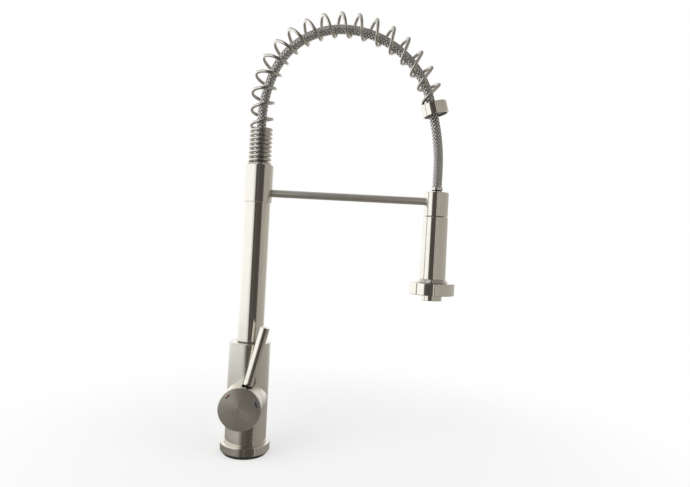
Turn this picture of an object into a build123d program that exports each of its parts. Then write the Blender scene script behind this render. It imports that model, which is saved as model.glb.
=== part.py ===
from build123d import *
import math
import os

# Pull-down spring kitchen faucet, in millimetres. The origin is the centre of the
# gasket's underside, which rests on the worktop. +Z is up, +X is towards the spray
# head, and the lever's hub looks along -Y.

# Clearances, all radial or along an axis
THREAD_CLEARANCE = 0.1
FIT_CLEARANCE = 0.05
RUN_CLEARANCE = 0.4
FACE_GAP = 0.1
OVERRUN = 2.0

# Worktop fixing: gasket and flange above, washers and nut below
GASKET_INSET = 2.3
GASKET_H = 4.0
GASKET_EDGE = 1.6
FLANGE_RIM = 4.5
FLANGE_H = 8.8
FLANGE_CHAMFER = 0.7
SHANK_R = 16.0
SHANK_WALL = 3.0
SHANK_DROP = 55.0
SHANK_ENGAGE = 10.0
WORKTOP = 30.0
CLAMP_RUBBER_RIM = 7.0
CLAMP_RUBBER_H = 3.0
CLAMP_STEEL_RIM = 8.0
CLAMP_STEEL_H = 1.5
NUT_WALL = 4.5
NUT_H = 9.0
NUT_CHAMFER = 1.2

# Lower body: a round casting with a stub for the cartridge and a socket on top
BODY_TOP = 120.0
BODY_SINK = 5.8
BODY_EDGE = 0.4
HUB_Z = 59.3
STUB_PROUD = 0.3
SOCKET_STEP = 0.8
SOCKET_DEPTH = 30.0
INLET_R = 4.5
INLET_DEPTH = 12.0
INLET_SIDE = 6.5
INLET_BACK = 4.5
PASSAGE_R = 2.5
PORT_RADIUS = 5.5
PORT_DEPTH = 6.0
PORT_ANGLES = (90.0, 210.0, 330.0)

# Cartridge, measured forward from the column's axis along the hub
CARTRIDGE_R = 13.0
CARTRIDGE_SEAT = -4.0
CARTRIDGE_WALL = 2.0
CARTRIDGE_BASE_H = 3.0
CARTRIDGE_LIP_H = 2.0
CARTRIDGE_LIP_W = 1.8
SEAL_HEIGHT = 1.0
SEAL_PROUD = 0.4
SEAL_WALL = 0.8
DISC_H = 2.5
FIXED_DISC_INSET = 1.2
MOVING_DISC_INSET = 1.8
MOVING_DISC_OFFSET = 1.2
CARRIER_H = 3.4
SPINDLE_SHOULDER_H = 4.65
SPINDLE_NOSE = 6.1
PIVOT_PIN_R = 1.25
PIVOT_PIN_SINK = 1.3
STEM_R = 3.0
STEM_BALL_R = 2.0
STEM_BALL_SLACK = 0.45
STEM_BALL_BACK = 7.0
STEM_SWING_DOWN = 6.2
STEM_SWING_UP = 4.8
CARTRIDGE_NUT_STEP = 2.0
CARTRIDGE_NUT_SINK = 0.8
GUIDE_RING_GAP = 1.1
GUIDE_RING_WALL = 2.6
GUIDE_RING_H = 2.0
CAP_ORING_WIRE_R = 0.5

# Handle: cap, marks, block and lever
CAP_WALL = 3.0
CAP_FACE_H = 2.6
CAP_GAP = 0.3
CAP_EDGE = 0.5
LEVER_R = 5.0
LEVER_TIP = 83.4
LEVER_GAP = 0.5
LEVER_TO_FACE = 16.2
LEVER_LEAN = 13.5
LEVER_EDGE = 0.4
LEVER_STUD_R = 3.0
LEVER_STUD_LENGTH = 3.6
BLOCK_R = 8.0
BLOCK_FLAT = 7.4
BLOCK_H = 9.2
BLOCK_FRONT_WALL = 1.3
BLOCK_SCREW_R = 1.5
BLOCK_SCREW_LENGTH = 3.5
MARK_LENGTH = 6.0
MARK_WIDTH = 1.3
MARK_DEPTH = 0.4
MARK_INSET = 4.5
MARK_ANGLE = 57.0

# Column, swivel and collar
SWIVEL_WASHER_H = 1.0
SWIVEL_WASHER_INSET = 0.6
COLUMN_R = 14.0
COLUMN_WALL = 3.0
SPIGOT_UP = 17.0
SPIGOT_BORE_R = 5.0
SPIGOT_LENGTH = 28.0
ORING_WIRE_R = 0.9
ORING_HEIGHTS = (5.0, 11.0)
SPIGOT_GROOVE_UP = 20.0
SPIGOT_GROOVE_H = 4.6
SPIGOT_GROOVE_DEPTH = 1.5
BODY_SCREW_R = 2.0
BODY_SCREW_SINK = 1.5
SCREW_SOCKET_R = 1.1
SCREW_SOCKET_DEPTH = 2.0
ADAPTER_R = 8.0
ADAPTER_HEAD_H = 4.0
ADAPTER_THREAD_H = 12.0
BARB_LENGTH = 14.0
COLLAR_WALL = 1.5
COLLAR_DROP = 10.6
COLLAR_RISE = 31.0
COLLAR_CHAMFER = 2.0
COLLAR_LIP_H = 2.7
COLLAR_EDGE = 0.3
SEAT_FLANGE_H = 2.5
SEAT_SPIGOT_H = 8.0
SEAT_BORE_CLEARANCE = 0.6
SEAT_SINK = 10.5

# Spring: one wire, close turns low down and open turns round the arch
WIRE_R = 1.8
CLOSE_TURNS = 8.75
CLOSE_GAP = 1.0
CLOSE_INSET = 1.3
CHANGE_TURNS = 0.7
OPEN_TURNS = 16.7
OPEN_PITCH = 17.67
OPEN_MEAN_R = 12.1
SWELL_TURNS = 4.0
TAPER_TURNS = 4.0
TAPER_MEAN_R = 11.0
END_TURNS = 0.5
END_MEAN_R = 9.2
LEAN_TURNS = 8.0
STRETCH_TURNS = 6.0
STRETCH_PITCH = 0.75
LEAN_END = 3.0
WIRE_BEND_R = 4.4
START_ANGLE = -54.0
BIARCS_PER_TURN = 4
HEADING_STEPS_PER_TURN = 4000
GAP_POINTS_PER_TURN = 24

# Arch: the spring's centre line is two arcs in the plane of the column and the head
ARCH_TOP = 467.3
ARCH_INNER_R = 85.0
END_TILT = 15.5

# Ring at the spring's end and its liner
END_RING_R = 14.0
END_RING_WALL = 1.5
END_RING_H = 13.0
END_RING_EDGE = 0.5
LINER_H = 3.5
LINER_DEPTH = 8.0

# Hose: it lies against the inner side of the arch, then leaves it on a slant
HOSE_R = 5.0
HOSE_WALL = 1.5
HOSE_SPRING_GAP = 0.6
HOSE_SHOULDER_INSET = 2.0
HOSE_EASE_R = 150.0
HOSE_SLANT = 15.5
HOSE_RETURN_R = 220.0
FERRULE_WALL = 0.6
FERRULE_H = 14.0
FERRULE_PROUD = 6.0

# Arm and holder
HEAD_X = 193.5
ARM_Z = 281.0
ARM_R = 4.1
ARM_SINK = 0.8
ARM_STUD_R = 3.0
ARM_STUD_LENGTH = 3.0
HOLDER_WALL = 3.6
HOLDER_DROP = 16.0
HOLDER_RISE = 10.0
HOLDER_EDGE = 0.7
HOLDER_LINER_WALL = 1.0
HOLDER_LINER_RECESS = 1.5

# Spray head, from the hose connector down to the nozzle
TAIL_SLACK = 0.15
TAIL_H = 4.0
TAIL_BARB = 14.0
CONNECTOR_R = 8.0
CONNECTOR_H = 14.0
CONNECTOR_LIP_H = 3.0
CONNECTOR_WALL = 0.85
CONNECTOR_SINK = 2.5
SEAL_WASHER_H = 1.6
HOLDER_TO_BARREL = 0.5
BARREL_LENGTH = 67.0
BARREL_TOP_R = 13.35
BARREL_BOTTOM_R = 13.9
BARREL_WALL = 2.2
BARREL_CAP_H = 3.0
BARREL_EDGE = 0.8
WATERWAY_BORE_R = 4.0
WATERWAY_FLANGE_GAP = 0.7
WATERWAY_FLANGE_H = 2.5
NECK_H = 3.7
NECK_FLARE = 2.9
NECK_TO_DISC = 0.3
SPRAY_DISC_R = 24.0
SPRAY_DISC_H = 12.7
SPRAY_DISC_WALL = 2.0
SPRAY_DISC_ROOF = 2.3
SPRAY_DISC_EDGE = 0.5
PLATE_H = 2.5
PLATE_RECESS = 1.2
NOZZLE_R = 1.2
NOZZLE_TIP_R = 0.8
NOZZLE_PROUD = 0.9
NOZZLE_RING_SHARES = (0.3, 0.69)
NOZZLE_COUNTS = (16, 22)
AERATOR_SHARE = 0.46
AERATOR_WALL = 1.4
AERATOR_DROP = 6.4
AERATOR_ROOF_H = 2.6
AERATOR_EDGE = 0.4
INSERT_RECESS = 1.6
INSERT_H = 6.0
INSERT_HOLE_R = 0.75
INSERT_RING_SHARES = (0.0, 0.27, 0.54, 0.81)
INSERT_HOLE_COUNTS = (1, 6, 12, 18)

# Places worked out from the sizes above: cartridge, body and cap
CARTRIDGE_BORE_R = CARTRIDGE_R - CARTRIDGE_WALL
CARTRIDGE_LIP_R = CARTRIDGE_BORE_R - CARTRIDGE_LIP_W
FIXED_DISC_R = CARTRIDGE_BORE_R - FIXED_DISC_INSET
MOVING_DISC_R = FIXED_DISC_R - MOVING_DISC_INSET
SPINDLE_R = CARTRIDGE_BORE_R - RUN_CLEARANCE
SPINDLE_NECK_R = CARTRIDGE_LIP_R - RUN_CLEARANCE
CARTRIDGE_NUT_R = CARTRIDGE_R + CARTRIDGE_NUT_STEP
CARTRIDGE_NUT_BORE_R = CARTRIDGE_LIP_R + 2 * THREAD_CLEARANCE
CAP_BORE_R = CARTRIDGE_NUT_R + GUIDE_RING_GAP + GUIDE_RING_WALL + CAP_GAP
CAP_R = CAP_BORE_R + CAP_WALL
BODY_R = CAP_R
FLANGE_R = BODY_R + FLANGE_RIM
GASKET_R = FLANGE_R - GASKET_INSET
SHANK_BORE_R = SHANK_R - SHANK_WALL
FLANGE_TOP = GASKET_H + FLANGE_H
BODY_BOTTOM = FLANGE_TOP - BODY_SINK
STUB_FRONT = BODY_R + STUB_PROUD
BASE_FRONT = CARTRIDGE_SEAT + SEAL_PROUD + CARTRIDGE_BASE_H
MOVING_DISC_BACK = BASE_FRONT + DISC_H + FACE_GAP / 2
CARRIER_BACK = MOVING_DISC_BACK + DISC_H
SPINDLE_BACK = CARRIER_BACK + CARRIER_H + CAP_GAP
SPINDLE_SHOULDER = SPINDLE_BACK + SPINDLE_SHOULDER_H
CARTRIDGE_FRONT = SPINDLE_SHOULDER + FACE_GAP + CARTRIDGE_LIP_H
SPINDLE_FRONT = CARTRIDGE_FRONT + SPINDLE_NOSE
STEM_BALL_FORWARD = CARRIER_BACK + FACE_GAP + STEM_BALL_SLACK + STEM_BALL_R
PIVOT_FORWARD = STEM_BALL_FORWARD + STEM_BALL_BACK
PIVOT_PIN_LENGTH = 2 * (SPINDLE_NECK_R - PIVOT_PIN_SINK)
CAP_BACK = STUB_FRONT + CAP_GAP
LEVER_FORWARD = STUB_FRONT + GUIDE_RING_H + LEVER_GAP + LEVER_R
CAP_FACE = LEVER_FORWARD + LEVER_TO_FACE
CAP_INSIDE = CAP_FACE - CAP_FACE_H
SLOT_HALF = LEVER_R + RUN_CLEARANCE
BLOCK_BACK = LEVER_FORWARD - BLOCK_H / 2
BLOCK_BORE_END = BLOCK_BACK + BLOCK_H - BLOCK_FRONT_WALL

# Places worked out from the sizes above: column, spring and hose
COLUMN_BORE_R = COLUMN_R - COLUMN_WALL
COLLAR_R = COLUMN_R + COLLAR_WALL
COLLAR_BOTTOM = ARM_Z - COLLAR_DROP
COLLAR_TOP = ARM_Z + COLLAR_RISE
SEAT_Z = COLLAR_TOP - SEAT_SINK
COLUMN_BOTTOM = BODY_TOP + SWIVEL_WASHER_H + FACE_GAP
COLUMN_TOP = SEAT_Z - SEAT_FLANGE_H
SWIVEL_WASHER_R = COLUMN_R - SWIVEL_WASHER_INSET
SLEEVE_BORE_R = COLUMN_R + FIT_CLEARANCE
SOCKET_R = COLUMN_BORE_R + SOCKET_STEP
SPIGOT_R = SOCKET_R - FIT_CLEARANCE
SPIGOT_FOOT = COLUMN_BOTTOM - SPIGOT_LENGTH
SPIGOT_TOP = COLUMN_BOTTOM + SPIGOT_UP
GROOVE_Z = SPIGOT_FOOT + SPIGOT_GROOVE_UP
BODY_SCREW_Z = GROOVE_Z + SPIGOT_GROOVE_H / 2
HOSE_FOOT = SPIGOT_TOP + ADAPTER_HEAD_H
HOSE_BORE_R = HOSE_R - HOSE_WALL
FERRULE_R = HOSE_R + FERRULE_WALL
CLOSE_PITCH = 2 * WIRE_R + CLOSE_GAP
CLOSE_MEAN_R = COLUMN_R - CLOSE_INSET - WIRE_R
END_TILT_SIN = math.sin(math.radians(END_TILT))
END_TILT_COS = math.cos(math.radians(END_TILT))
HOSE_DROP_AT_TOP = OPEN_MEAN_R - WIRE_R - HOSE_R - HOSE_SPRING_GAP
HOSE_ARCH_R = ARCH_INNER_R - HOSE_DROP_AT_TOP
HOSE_EASE_RISE = math.sqrt((HOSE_EASE_R - HOSE_ARCH_R) ** 2 - (HOSE_EASE_R - ARCH_INNER_R) ** 2)
HOSE_SLANT_END_X = HEAD_X - HOSE_RETURN_R * (1 - END_TILT_COS)
HOSE_SHOULDER_R = (HOSE_SLANT_END_X - HOSE_SLANT * END_TILT_SIN - ARCH_INNER_R) / END_TILT_COS
ARCH_OUTER_R = HOSE_SHOULDER_R + HOSE_SHOULDER_INSET

# Places worked out from the sizes above: holder and spray head
COLLAR_FAR_X = COLLAR_R - ARM_SINK
HOLDER_LINER_BORE_R = CONNECTOR_R + RUN_CLEARANCE
HOLDER_BORE_R = HOLDER_LINER_BORE_R + HOLDER_LINER_WALL
HOLDER_R = HOLDER_BORE_R + HOLDER_WALL
HOLDER_BOTTOM = ARM_Z - HOLDER_DROP
HOLDER_TOP = ARM_Z + HOLDER_RISE
HOLDER_NEAR_X = HEAD_X - HOLDER_R + ARM_SINK
FERRULE_TOP = HOLDER_TOP + FERRULE_PROUD
BARREL_TOP = HOLDER_BOTTOM - HOLDER_TO_BARREL
NECK_TOP = BARREL_TOP - BARREL_LENGTH
CONNECTOR_BOTTOM = BARREL_TOP - CONNECTOR_SINK
CONNECTOR_BORE_R = CONNECTOR_R - CONNECTOR_WALL
TAIL_R = CONNECTOR_BORE_R - TAIL_SLACK
TAIL_TOP = CONNECTOR_BOTTOM + CONNECTOR_H - CONNECTOR_LIP_H
TAIL_BOTTOM = TAIL_TOP - TAIL_H
HOSE_END = TAIL_TOP + RUN_CLEARANCE
WATERWAY_TOP = TAIL_BOTTOM - SEAL_WASHER_H
WATERWAY_R = CONNECTOR_BORE_R - THREAD_CLEARANCE
WATERWAY_FLANGE_R = BARREL_BOTTOM_R - BARREL_WALL - WATERWAY_FLANGE_GAP
NECK_BOTTOM = NECK_TOP - NECK_H
NECK_FOOT_R = BARREL_BOTTOM_R + NECK_FLARE
SPRAY_DISC_TOP = NECK_BOTTOM - NECK_TO_DISC
DISC_BOTTOM = SPRAY_DISC_TOP - SPRAY_DISC_H
DISC_INNER_R = SPRAY_DISC_R - SPRAY_DISC_WALL
AERATOR_R = SPRAY_DISC_R * AERATOR_SHARE
AERATOR_BOTTOM = DISC_BOTTOM - AERATOR_DROP
AERATOR_ROOF = SPRAY_DISC_TOP - SPRAY_DISC_ROOF - RUN_CLEARANCE
AERATOR_BORE_R = AERATOR_R - AERATOR_WALL
WATERWAY_BOTTOM = AERATOR_ROOF - AERATOR_ROOF_H

HUB = Pos(0, 0, HUB_Z) * Rot(90, 0, 0)
HUB_AT_LEVER = HUB * Rot(0, 0, -LEVER_LEAN)


def rod(radius, low, high):
    """A cylinder about the Z axis between two heights."""
    return Pos(0, 0, low) * Cylinder(radius, high - low, align=(Align.CENTER, Align.CENTER, Align.MIN))


def tube(outer, inner, low, high):
    """A ring about the Z axis, bored right through."""
    return rod(outer, low, high) - rod(inner, low - OVERRUN, high + OVERRUN)


def taper(bottom_r, top_r, low, high):
    """A truncated cone about the Z axis."""
    cone = Cone(bottom_r, top_r, high - low, align=(Align.CENTER, Align.CENTER, Align.MIN))
    return Pos(0, 0, low) * cone


def turned(points):
    """A solid turned about the Z axis from (radius, height) points."""
    outline = Polyline(*[(radius, 0, height) for radius, height in points], close=True)
    return revolve(make_face(outline), Axis.Z)


def drilled(start, end, radius):
    """A straight drilling between two points."""
    path = Vector(*end) - Vector(*start)
    plane = Plane(origin=start, z_dir=path)
    return plane * Cylinder(radius, path.length, align=(Align.CENTER, Align.CENTER, Align.MIN))


def gland(mean_r, wire_r, height):
    """A rubber ring of round section."""
    return Pos(0, 0, height) * Torus(mean_r, wire_r)


def grub_screw(radius, near, far):
    """A headless screw about Z, with a round socket in its far end."""
    screw = rod(radius, near, far)
    return screw - rod(SCREW_SOCKET_R, far - SCREW_SOCKET_DEPTH, far + OVERRUN)


# Worktop fixing

def deck_gasket():
    outline = [
        (SHANK_R + RUN_CLEARANCE, 0),
        (GASKET_R - GASKET_EDGE, 0),
        (GASKET_R, GASKET_EDGE),
        (GASKET_R, GASKET_H),
        (SHANK_R + RUN_CLEARANCE, GASKET_H),
    ]
    return turned(outline)


def base_flange():
    bore = SHANK_R + RUN_CLEARANCE
    recess = BODY_R + THREAD_CLEARANCE
    outline = [
        (bore, GASKET_H),
        (FLANGE_R - BODY_EDGE, GASKET_H),
        (FLANGE_R, GASKET_H + BODY_EDGE),
        (FLANGE_R, FLANGE_TOP - FLANGE_CHAMFER),
        (FLANGE_R - FLANGE_CHAMFER, FLANGE_TOP),
        (recess, FLANGE_TOP),
        (recess, BODY_BOTTOM),
        (bore, BODY_BOTTOM),
    ]
    return turned(outline)


def mounting_shank():
    return tube(SHANK_R, SHANK_BORE_R, -SHANK_DROP, BODY_BOTTOM + SHANK_ENGAGE)


def clamp_rubber_washer():
    return tube(SHANK_R + CLAMP_RUBBER_RIM, SHANK_R + RUN_CLEARANCE, -WORKTOP - CLAMP_RUBBER_H, -WORKTOP)


def clamp_steel_washer():
    top = -WORKTOP - CLAMP_RUBBER_H
    return tube(SHANK_R + CLAMP_STEEL_RIM, SHANK_R + RUN_CLEARANCE, top - CLAMP_STEEL_H, top)


def mounting_nut():
    top = -WORKTOP - CLAMP_RUBBER_H - CLAMP_STEEL_H
    corner_r = (SHANK_R + NUT_WALL) / math.cos(math.pi / 6)
    hexagon = extrude(RegularPolygon(corner_r, 6), NUT_H)
    trim = turned([
        (0, 0),
        (corner_r - NUT_CHAMFER, 0),
        (corner_r, NUT_CHAMFER),
        (corner_r, NUT_H - NUT_CHAMFER),
        (corner_r - NUT_CHAMFER, NUT_H),
        (0, NUT_H),
    ])
    nut = (hexagon & trim) - rod(SHANK_R + THREAD_CLEARANCE, -OVERRUN, NUT_H + OVERRUN)
    return Pos(0, 0, top - NUT_H) * nut


# Lower body and the cartridge in it

def port_place(angle):
    """A port of the cartridge, as (side, up) from the hub's axis."""
    return (
        PORT_RADIUS * math.cos(math.radians(angle)),
        PORT_RADIUS * math.sin(math.radians(angle)),
    )


def lower_body():
    body = rod(BODY_R, BODY_BOTTOM, BODY_TOP)
    top_edge = body.edges().sort_by(Axis.Z)[-1]
    body = chamfer(top_edge, BODY_EDGE)
    body += HUB * rod(BODY_R, 0, STUB_FRONT)
    body -= HUB * rod(CARTRIDGE_R + THREAD_CLEARANCE, CARTRIDGE_SEAT, STUB_FRONT + OVERRUN)
    body -= HUB * rod(CARTRIDGE_NUT_R + THREAD_CLEARANCE, CARTRIDGE_FRONT, STUB_FRONT + OVERRUN)
    body -= rod(SHANK_R + THREAD_CLEARANCE, BODY_BOTTOM - OVERRUN, BODY_BOTTOM + SHANK_ENGAGE)
    body -= rod(SOCKET_R, BODY_TOP - SOCKET_DEPTH, BODY_TOP + OVERRUN)
    inlet_floor = BODY_BOTTOM + SHANK_ENGAGE
    back = -CARTRIDGE_SEAT + PORT_DEPTH
    for angle in PORT_ANGLES:
        side, up = port_place(angle)
        elbow = (side, back, HUB_Z + up)
        body -= drilled((side, -CARTRIDGE_SEAT - FACE_GAP, HUB_Z + up), elbow, PASSAGE_R)
        if up > 0:
            goal = (side, 0, BODY_TOP - SOCKET_DEPTH + FACE_GAP)
        else:
            inlet_x = math.copysign(INLET_SIDE, side)
            goal = (inlet_x, INLET_BACK, inlet_floor + INLET_DEPTH - FACE_GAP)
            inlet = rod(INLET_R, inlet_floor - FACE_GAP, inlet_floor + INLET_DEPTH)
            body -= Pos(inlet_x, INLET_BACK, 0) * inlet
        body -= drilled((side, back - PASSAGE_R / 2, HUB_Z + up), goal, PASSAGE_R)
    screw_hole = rod(BODY_SCREW_R + FIT_CLEARANCE, SOCKET_R - OVERRUN, BODY_R + OVERRUN)
    body -= Pos(0, 0, BODY_SCREW_Z) * Rot(-90, 0, 0) * screw_hole
    return body


def cartridge_body():
    back = CARTRIDGE_SEAT + SEAL_PROUD
    shell = rod(CARTRIDGE_R, back, CARTRIDGE_FRONT)
    shell -= rod(CARTRIDGE_BORE_R, BASE_FRONT, CARTRIDGE_FRONT - CARTRIDGE_LIP_H)
    shell -= rod(CARTRIDGE_LIP_R, BASE_FRONT, CARTRIDGE_FRONT + OVERRUN)
    for angle in PORT_ANGLES:
        side, up = port_place(angle)
        shell -= Pos(side, up, 0) * rod(PASSAGE_R - SEAL_WALL, back - OVERRUN, BASE_FRONT + OVERRUN)
        shell -= Pos(side, up, 0) * rod(PASSAGE_R, back - OVERRUN, back + SEAL_HEIGHT - SEAL_PROUD)
    return HUB * shell


def cartridge_seals():
    seals = []
    for angle in PORT_ANGLES:
        side, up = port_place(angle)
        seal = tube(
            PASSAGE_R - FIT_CLEARANCE,
            PASSAGE_R - SEAL_WALL,
            CARTRIDGE_SEAT,
            CARTRIDGE_SEAT + SEAL_HEIGHT,
        )
        seals.append(HUB * Pos(side, up, 0) * seal)
    return Compound(children=seals)


def fixed_disc():
    disc = rod(FIXED_DISC_R, BASE_FRONT, BASE_FRONT + DISC_H)
    for angle in PORT_ANGLES:
        side, up = port_place(angle)
        port = rod(PASSAGE_R - SEAL_WALL, BASE_FRONT - OVERRUN, BASE_FRONT + DISC_H + OVERRUN)
        disc -= Pos(side, up, 0) * port
    return HUB * disc


def moving_disc():
    disc = rod(MOVING_DISC_R, MOVING_DISC_BACK, MOVING_DISC_BACK + DISC_H)
    pocket_depth = DISC_H / 2
    pocket = rod(PORT_RADIUS, MOVING_DISC_BACK - OVERRUN, MOVING_DISC_BACK + pocket_depth)
    return HUB_AT_LEVER * Pos(0, -MOVING_DISC_OFFSET, 0) * (disc - pocket)


def disc_carrier():
    carrier = rod(MOVING_DISC_R, CARRIER_BACK, CARRIER_BACK + CARRIER_H)
    socket_r = STEM_BALL_R + RUN_CLEARANCE
    carrier = Pos(0, -MOVING_DISC_OFFSET, 0) * carrier
    carrier -= rod(socket_r, CARRIER_BACK + FACE_GAP, CARRIER_BACK + CARRIER_H + OVERRUN)
    return HUB_AT_LEVER * carrier


def stem_window(low, high, clearance):
    """The window that lets the stem swing down as the lever comes forward."""
    width = 2 * (STEM_R + clearance)
    height = STEM_SWING_DOWN + STEM_SWING_UP
    middle = (STEM_SWING_UP - STEM_SWING_DOWN) / 2
    return Pos(0, middle, (low + high) / 2) * Box(width, height, high - low)


def cartridge_spindle():
    spindle = rod(SPINDLE_R, SPINDLE_BACK, SPINDLE_SHOULDER)
    spindle += rod(SPINDLE_NECK_R, SPINDLE_SHOULDER, SPINDLE_FRONT)
    spindle -= stem_window(SPINDLE_BACK - OVERRUN, SPINDLE_FRONT + OVERRUN, FACE_GAP)
    pin_hole = rod(PIVOT_PIN_R + FIT_CLEARANCE, -PIVOT_PIN_LENGTH, PIVOT_PIN_LENGTH)
    spindle -= Pos(0, 0, PIVOT_FORWARD) * Rot(0, 90, 0) * pin_hole
    return HUB_AT_LEVER * spindle


def stem_pivot_pin():
    pin = rod(PIVOT_PIN_R, -PIVOT_PIN_LENGTH / 2, PIVOT_PIN_LENGTH / 2)
    return HUB_AT_LEVER * Pos(0, 0, PIVOT_FORWARD) * Rot(0, 90, 0) * pin


def cartridge_nut():
    front = STUB_FRONT - CARTRIDGE_NUT_SINK
    return HUB * tube(CARTRIDGE_NUT_R, CARTRIDGE_NUT_BORE_R, CARTRIDGE_FRONT, front)


def cap_guide_ring():
    outer = CAP_BORE_R - CAP_GAP
    ring = tube(outer, outer - GUIDE_RING_WALL, STUB_FRONT, STUB_FRONT + GUIDE_RING_H)
    return HUB * ring - cap_gland(CAP_ORING_WIRE_R + FIT_CLEARANCE)


def cap_gland(wire_r):
    """The rubber ring that grips the cap, or with a larger section its groove."""
    mean_r = CAP_BORE_R - FIT_CLEARANCE - CAP_ORING_WIRE_R
    return HUB * gland(mean_r, wire_r, STUB_FRONT + GUIDE_RING_H / 2)


def cap_oring():
    return cap_gland(CAP_ORING_WIRE_R)


# Handle

def mark_place(angle):
    """Where a mark lies on the cap's face, turned square to its radius."""
    return Rot(0, 0, angle) * Pos(0, CAP_R - MARK_INSET, CAP_FACE - MARK_DEPTH)


def mark_bar(extra):
    """A bar with round ends, grown by extra all round."""
    outline = SlotOverall(MARK_LENGTH + 2 * extra, MARK_WIDTH + 2 * extra)
    return extrude(outline, MARK_DEPTH)


def handle_cap():
    cap = rod(CAP_R, CAP_BACK, CAP_FACE)
    cap = chamfer(cap.edges().sort_by(Axis.Z)[-1], CAP_EDGE)
    cap -= rod(CAP_BORE_R, CAP_BACK - OVERRUN, CAP_INSIDE)
    slot_end = CAP_INSIDE - SLOT_HALF
    slot_back = CAP_BACK - OVERRUN
    slot = Pos(0, CAP_R, (slot_back + slot_end) / 2) * Box(2 * SLOT_HALF, CAP_R, slot_end - slot_back)
    slot += Pos(0, CAP_R / 2, slot_end) * Rot(-90, 0, 0) * rod(SLOT_HALF, 0, CAP_R)
    cap -= slot
    for angle in (MARK_ANGLE, -MARK_ANGLE):
        cap -= mark_place(angle) * mark_bar(FIT_CLEARANCE)
    return HUB_AT_LEVER * cap


def hot_mark():
    return HUB_AT_LEVER * mark_place(MARK_ANGLE) * mark_bar(0)


def cold_mark():
    return HUB_AT_LEVER * mark_place(-MARK_ANGLE) * mark_bar(0)


def cartridge_stem():
    shoulder = STEM_BALL_FORWARD + STEM_BALL_R
    stem = rod(STEM_R, shoulder, BLOCK_BORE_END)
    stem += rod(STEM_BALL_R / 2, STEM_BALL_FORWARD, shoulder + FACE_GAP)
    stem += Pos(0, 0, STEM_BALL_FORWARD) * Sphere(STEM_BALL_R)
    hole = rod(PIVOT_PIN_R + FIT_CLEARANCE, -STEM_R - OVERRUN, STEM_R + OVERRUN)
    stem -= Pos(0, 0, PIVOT_FORWARD) * Rot(0, 90, 0) * hole
    return HUB_AT_LEVER * stem


def handle_block():
    block = rod(BLOCK_R, BLOCK_BACK, BLOCK_BACK + BLOCK_H)
    lid = Pos(0, BLOCK_FLAT + BLOCK_R / 2, LEVER_FORWARD) * Box(2 * BLOCK_R, BLOCK_R, 2 * BLOCK_H)
    block -= lid
    block -= rod(STEM_R + FIT_CLEARANCE, BLOCK_BACK - OVERRUN, BLOCK_BORE_END)
    stud = rod(LEVER_STUD_R + FIT_CLEARANCE, BLOCK_FLAT - LEVER_STUD_LENGTH - FACE_GAP, BLOCK_R + OVERRUN)
    block -= Pos(0, 0, LEVER_FORWARD) * Rot(-90, 0, 0) * stud
    screw = rod(BLOCK_SCREW_R + FIT_CLEARANCE, STEM_R, BLOCK_R + OVERRUN)
    block -= Pos(0, 0, LEVER_FORWARD) * Rot(90, 0, 0) * screw
    return HUB_AT_LEVER * block


def handle_set_screw():
    near = STEM_R + FIT_CLEARANCE
    screw = rod(BLOCK_SCREW_R, near, near + BLOCK_SCREW_LENGTH)
    screw -= rod(BLOCK_SCREW_R / 2, near + BLOCK_SCREW_LENGTH / 2, BLOCK_R)
    return HUB_AT_LEVER * Pos(0, 0, LEVER_FORWARD) * Rot(90, 0, 0) * screw


def lever_rod():
    lever = rod(LEVER_R, BLOCK_FLAT, LEVER_TIP)
    lever = chamfer(lever.edges().sort_by(Axis.Z)[-1], LEVER_EDGE)
    lever += rod(LEVER_STUD_R, BLOCK_FLAT - LEVER_STUD_LENGTH, BLOCK_FLAT)
    return HUB_AT_LEVER * Pos(0, 0, LEVER_FORWARD) * Rot(-90, 0, 0) * lever


# Column, swivel and collar

def swivel_washer():
    return tube(SWIVEL_WASHER_R, SOCKET_R, BODY_TOP, BODY_TOP + SWIVEL_WASHER_H)


def swivel_spigot():
    spigot = rod(SPIGOT_R, SPIGOT_FOOT, COLUMN_BOTTOM)
    spigot += rod(COLUMN_BORE_R - FIT_CLEARANCE, COLUMN_BOTTOM, SPIGOT_TOP)
    spigot -= rod(SPIGOT_BORE_R, SPIGOT_FOOT - OVERRUN, SPIGOT_TOP + OVERRUN)
    spigot -= tube(
        SPIGOT_R + OVERRUN,
        SPIGOT_R - SPIGOT_GROOVE_DEPTH,
        GROOVE_Z,
        GROOVE_Z + SPIGOT_GROOVE_H,
    )
    for height in ORING_HEIGHTS:
        half = ORING_WIRE_R + FIT_CLEARANCE
        middle = SPIGOT_FOOT + height
        groove_r = SPIGOT_R - 2 * ORING_WIRE_R + FIT_CLEARANCE
        spigot -= tube(SPIGOT_R + OVERRUN, groove_r - THREAD_CLEARANCE, middle - half, middle + half)
    return spigot


def spigot_orings():
    mean_r = SPIGOT_R - ORING_WIRE_R
    rings = [gland(mean_r, ORING_WIRE_R, SPIGOT_FOOT + height) for height in ORING_HEIGHTS]
    return Compound(children=rings)


def body_screw():
    near = SPIGOT_R - SPIGOT_GROOVE_DEPTH + RUN_CLEARANCE
    screw = grub_screw(BODY_SCREW_R, near, BODY_R - BODY_SCREW_SINK)
    return Pos(0, 0, BODY_SCREW_Z) * Rot(-90, 0, 0) * screw


def hose_adapter():
    adapter = rod(SPIGOT_BORE_R - FIT_CLEARANCE, SPIGOT_TOP - ADAPTER_THREAD_H, SPIGOT_TOP)
    adapter += rod(ADAPTER_R, SPIGOT_TOP, HOSE_FOOT)
    adapter += rod(HOSE_BORE_R - FIT_CLEARANCE, HOSE_FOOT, HOSE_FOOT + BARB_LENGTH)
    bore = HOSE_BORE_R / 2
    return adapter - rod(bore, SPIGOT_TOP - ADAPTER_THREAD_H - OVERRUN, HOSE_FOOT + BARB_LENGTH + OVERRUN)


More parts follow.
